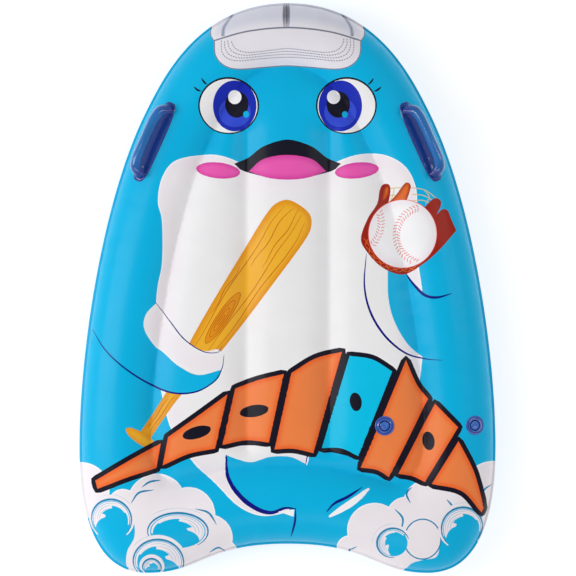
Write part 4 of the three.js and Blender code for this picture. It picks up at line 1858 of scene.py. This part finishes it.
@dataclass
class Studio:
    """Floor, light and camera."""

    camera_height: float = 5.05
    lens: float = 207.0

    def build(self) -> None:
        """Builds the whole studio."""
        scene = bpy.context.scene
        scene.view_settings.view_transform = "Standard"
        self.floor()
        self.sky(scene)
        self.lamp("left_softbox", (-2.3, 0.1, 2.1), (1.2, 2.8), 47.0)
        self.lamp("right_softbox", (2.2, 0.6, 2.4), (0.7, 2.2), 14.0)
        self.lamp("tail_softbox", (-0.4, -2.5, 2.6), (2.4, 1.0), 16.0)
        data = bpy.data.cameras.new("camera")
        data.lens = self.lens
        data.sensor_width = 36.0
        camera = bpy.data.objects.new("camera", data)
        camera.location = (0.0007, 0.0, self.camera_height)
        scene.collection.objects.link(camera)
        scene.camera = camera

    def floor(self) -> None:
        """Lays a plain pale floor."""
        mesh = bpy.data.meshes.new("floor")
        half = 12.0
        corners = [(-half, -half, 0), (half, -half, 0), (half, half, 0), (-half, half, 0)]
        mesh.from_pydata(corners, [], [(0, 1, 2, 3)])
        material = bpy.data.materials.new("floor")
        material.use_nodes = True
        skin = material.node_tree.nodes["Principled BSDF"]
        for key, value in {
            "Base Color": (0.45, 0.45, 0.45, 1), "Roughness": 0.9, "Specular IOR Level": 0.1,
            "Emission Color": (1, 1, 1, 1), "Emission Strength": 0.70,
        }.items():
            skin.inputs[key].default_value = value
        mesh.materials.append(material)
        floor = bpy.data.objects.new("floor", mesh)
        floor.location = (0, 0, -0.0005)
        bpy.context.scene.collection.objects.link(floor)

    @staticmethod
    def sky(scene: bpy.types.Scene) -> None:
        """Fills the room with even pale light.

        Args:
            scene: The scene to light.
        """
        world = bpy.data.worlds.new("room")
        world.use_nodes = True
        board = Board(world.node_tree)
        back = world.node_tree.nodes["Background"]
        place = board.add("ShaderNodeTexCoord")
        parts = board.add("ShaderNodeSeparateXYZ")
        board.join(place.outputs["Generated"], parts.inputs[0])
        ramp = {"From Min": 0.1, "From Max": 0.9, "To Min": 0.62, "To Max": 0.37}
        fade = board.add("ShaderNodeMapRange", ramp)
        board.join(parts.outputs["Z"], fade.inputs["Value"])
        board.join(fade.outputs[0], back.inputs[1])
        back.inputs[0].default_value = (1.0, 1.0, 1.0, 1.0)
        scene.world = world

    @staticmethod
    def lamp(name: str, place: tuple[float, float, float], size: tuple[float, float], power: float) -> None:
        """Hangs a soft rectangular lamp that faces the float.

        Args:
            name: The lamp's name.
            place: Where it hangs, in metres.
            size: Its width and height, in metres.
            power: Its power, in watts.
        """
        data = bpy.data.lights.new(name, "AREA")
        data.shape = "RECTANGLE"
        data.size, data.size_y = size
        data.energy = power
        lamp = bpy.data.objects.new(name, data)
        lamp.location = place
        lamp.rotation_euler = (Vector((0, 0, 0.06)) - Vector(place)).to_track_quat("-Z", "Y").to_euler()
        bpy.context.scene.collection.objects.link(lamp)


def main() -> None:
    """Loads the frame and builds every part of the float."""
    logging.basicConfig(level=logging.INFO, format="%(name)s: %(message)s")
    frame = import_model()
    Studio().build()
    finishes = Finishes()
    film = FilmSurface()
    holes = (RING_VALVE[:2], CORE_VALVE[:2])
    areas = PrintDesign().draw()
    Sheet(film, finishes.printed, "top_sheet", "printed_film", areas=areas, holes=holes).build()
    Sheet(film, finishes.plain, "bottom_sheet", "plain_film", spacing=7.0, under=True).build()
    for side in (1, -1):
        Handle(film, finishes.handle, side).build()
    for name, place, across, up in (
        ("ring", RING_VALVE, (0.94172, -0.00264, -0.33639), (0.3364, 0.00738, 0.94169)),
        ("core", CORE_VALVE, (0.99795, 0.00263, -0.06397), (0.06402, -0.04092, 0.99711)),
    ):
        Valve(film, finishes.valve, finishes.flap, name, place, across, up).build()
    for node in ("chamber_wall", "right_beam", "left_beam"):
        for slot in frame["nodes"][node].material_slots:
            slot.material = finishes.clear
        LOG.info("%s: kept from the frame with the clear wall finish", node)


if __name__ == "__main__":
    main()
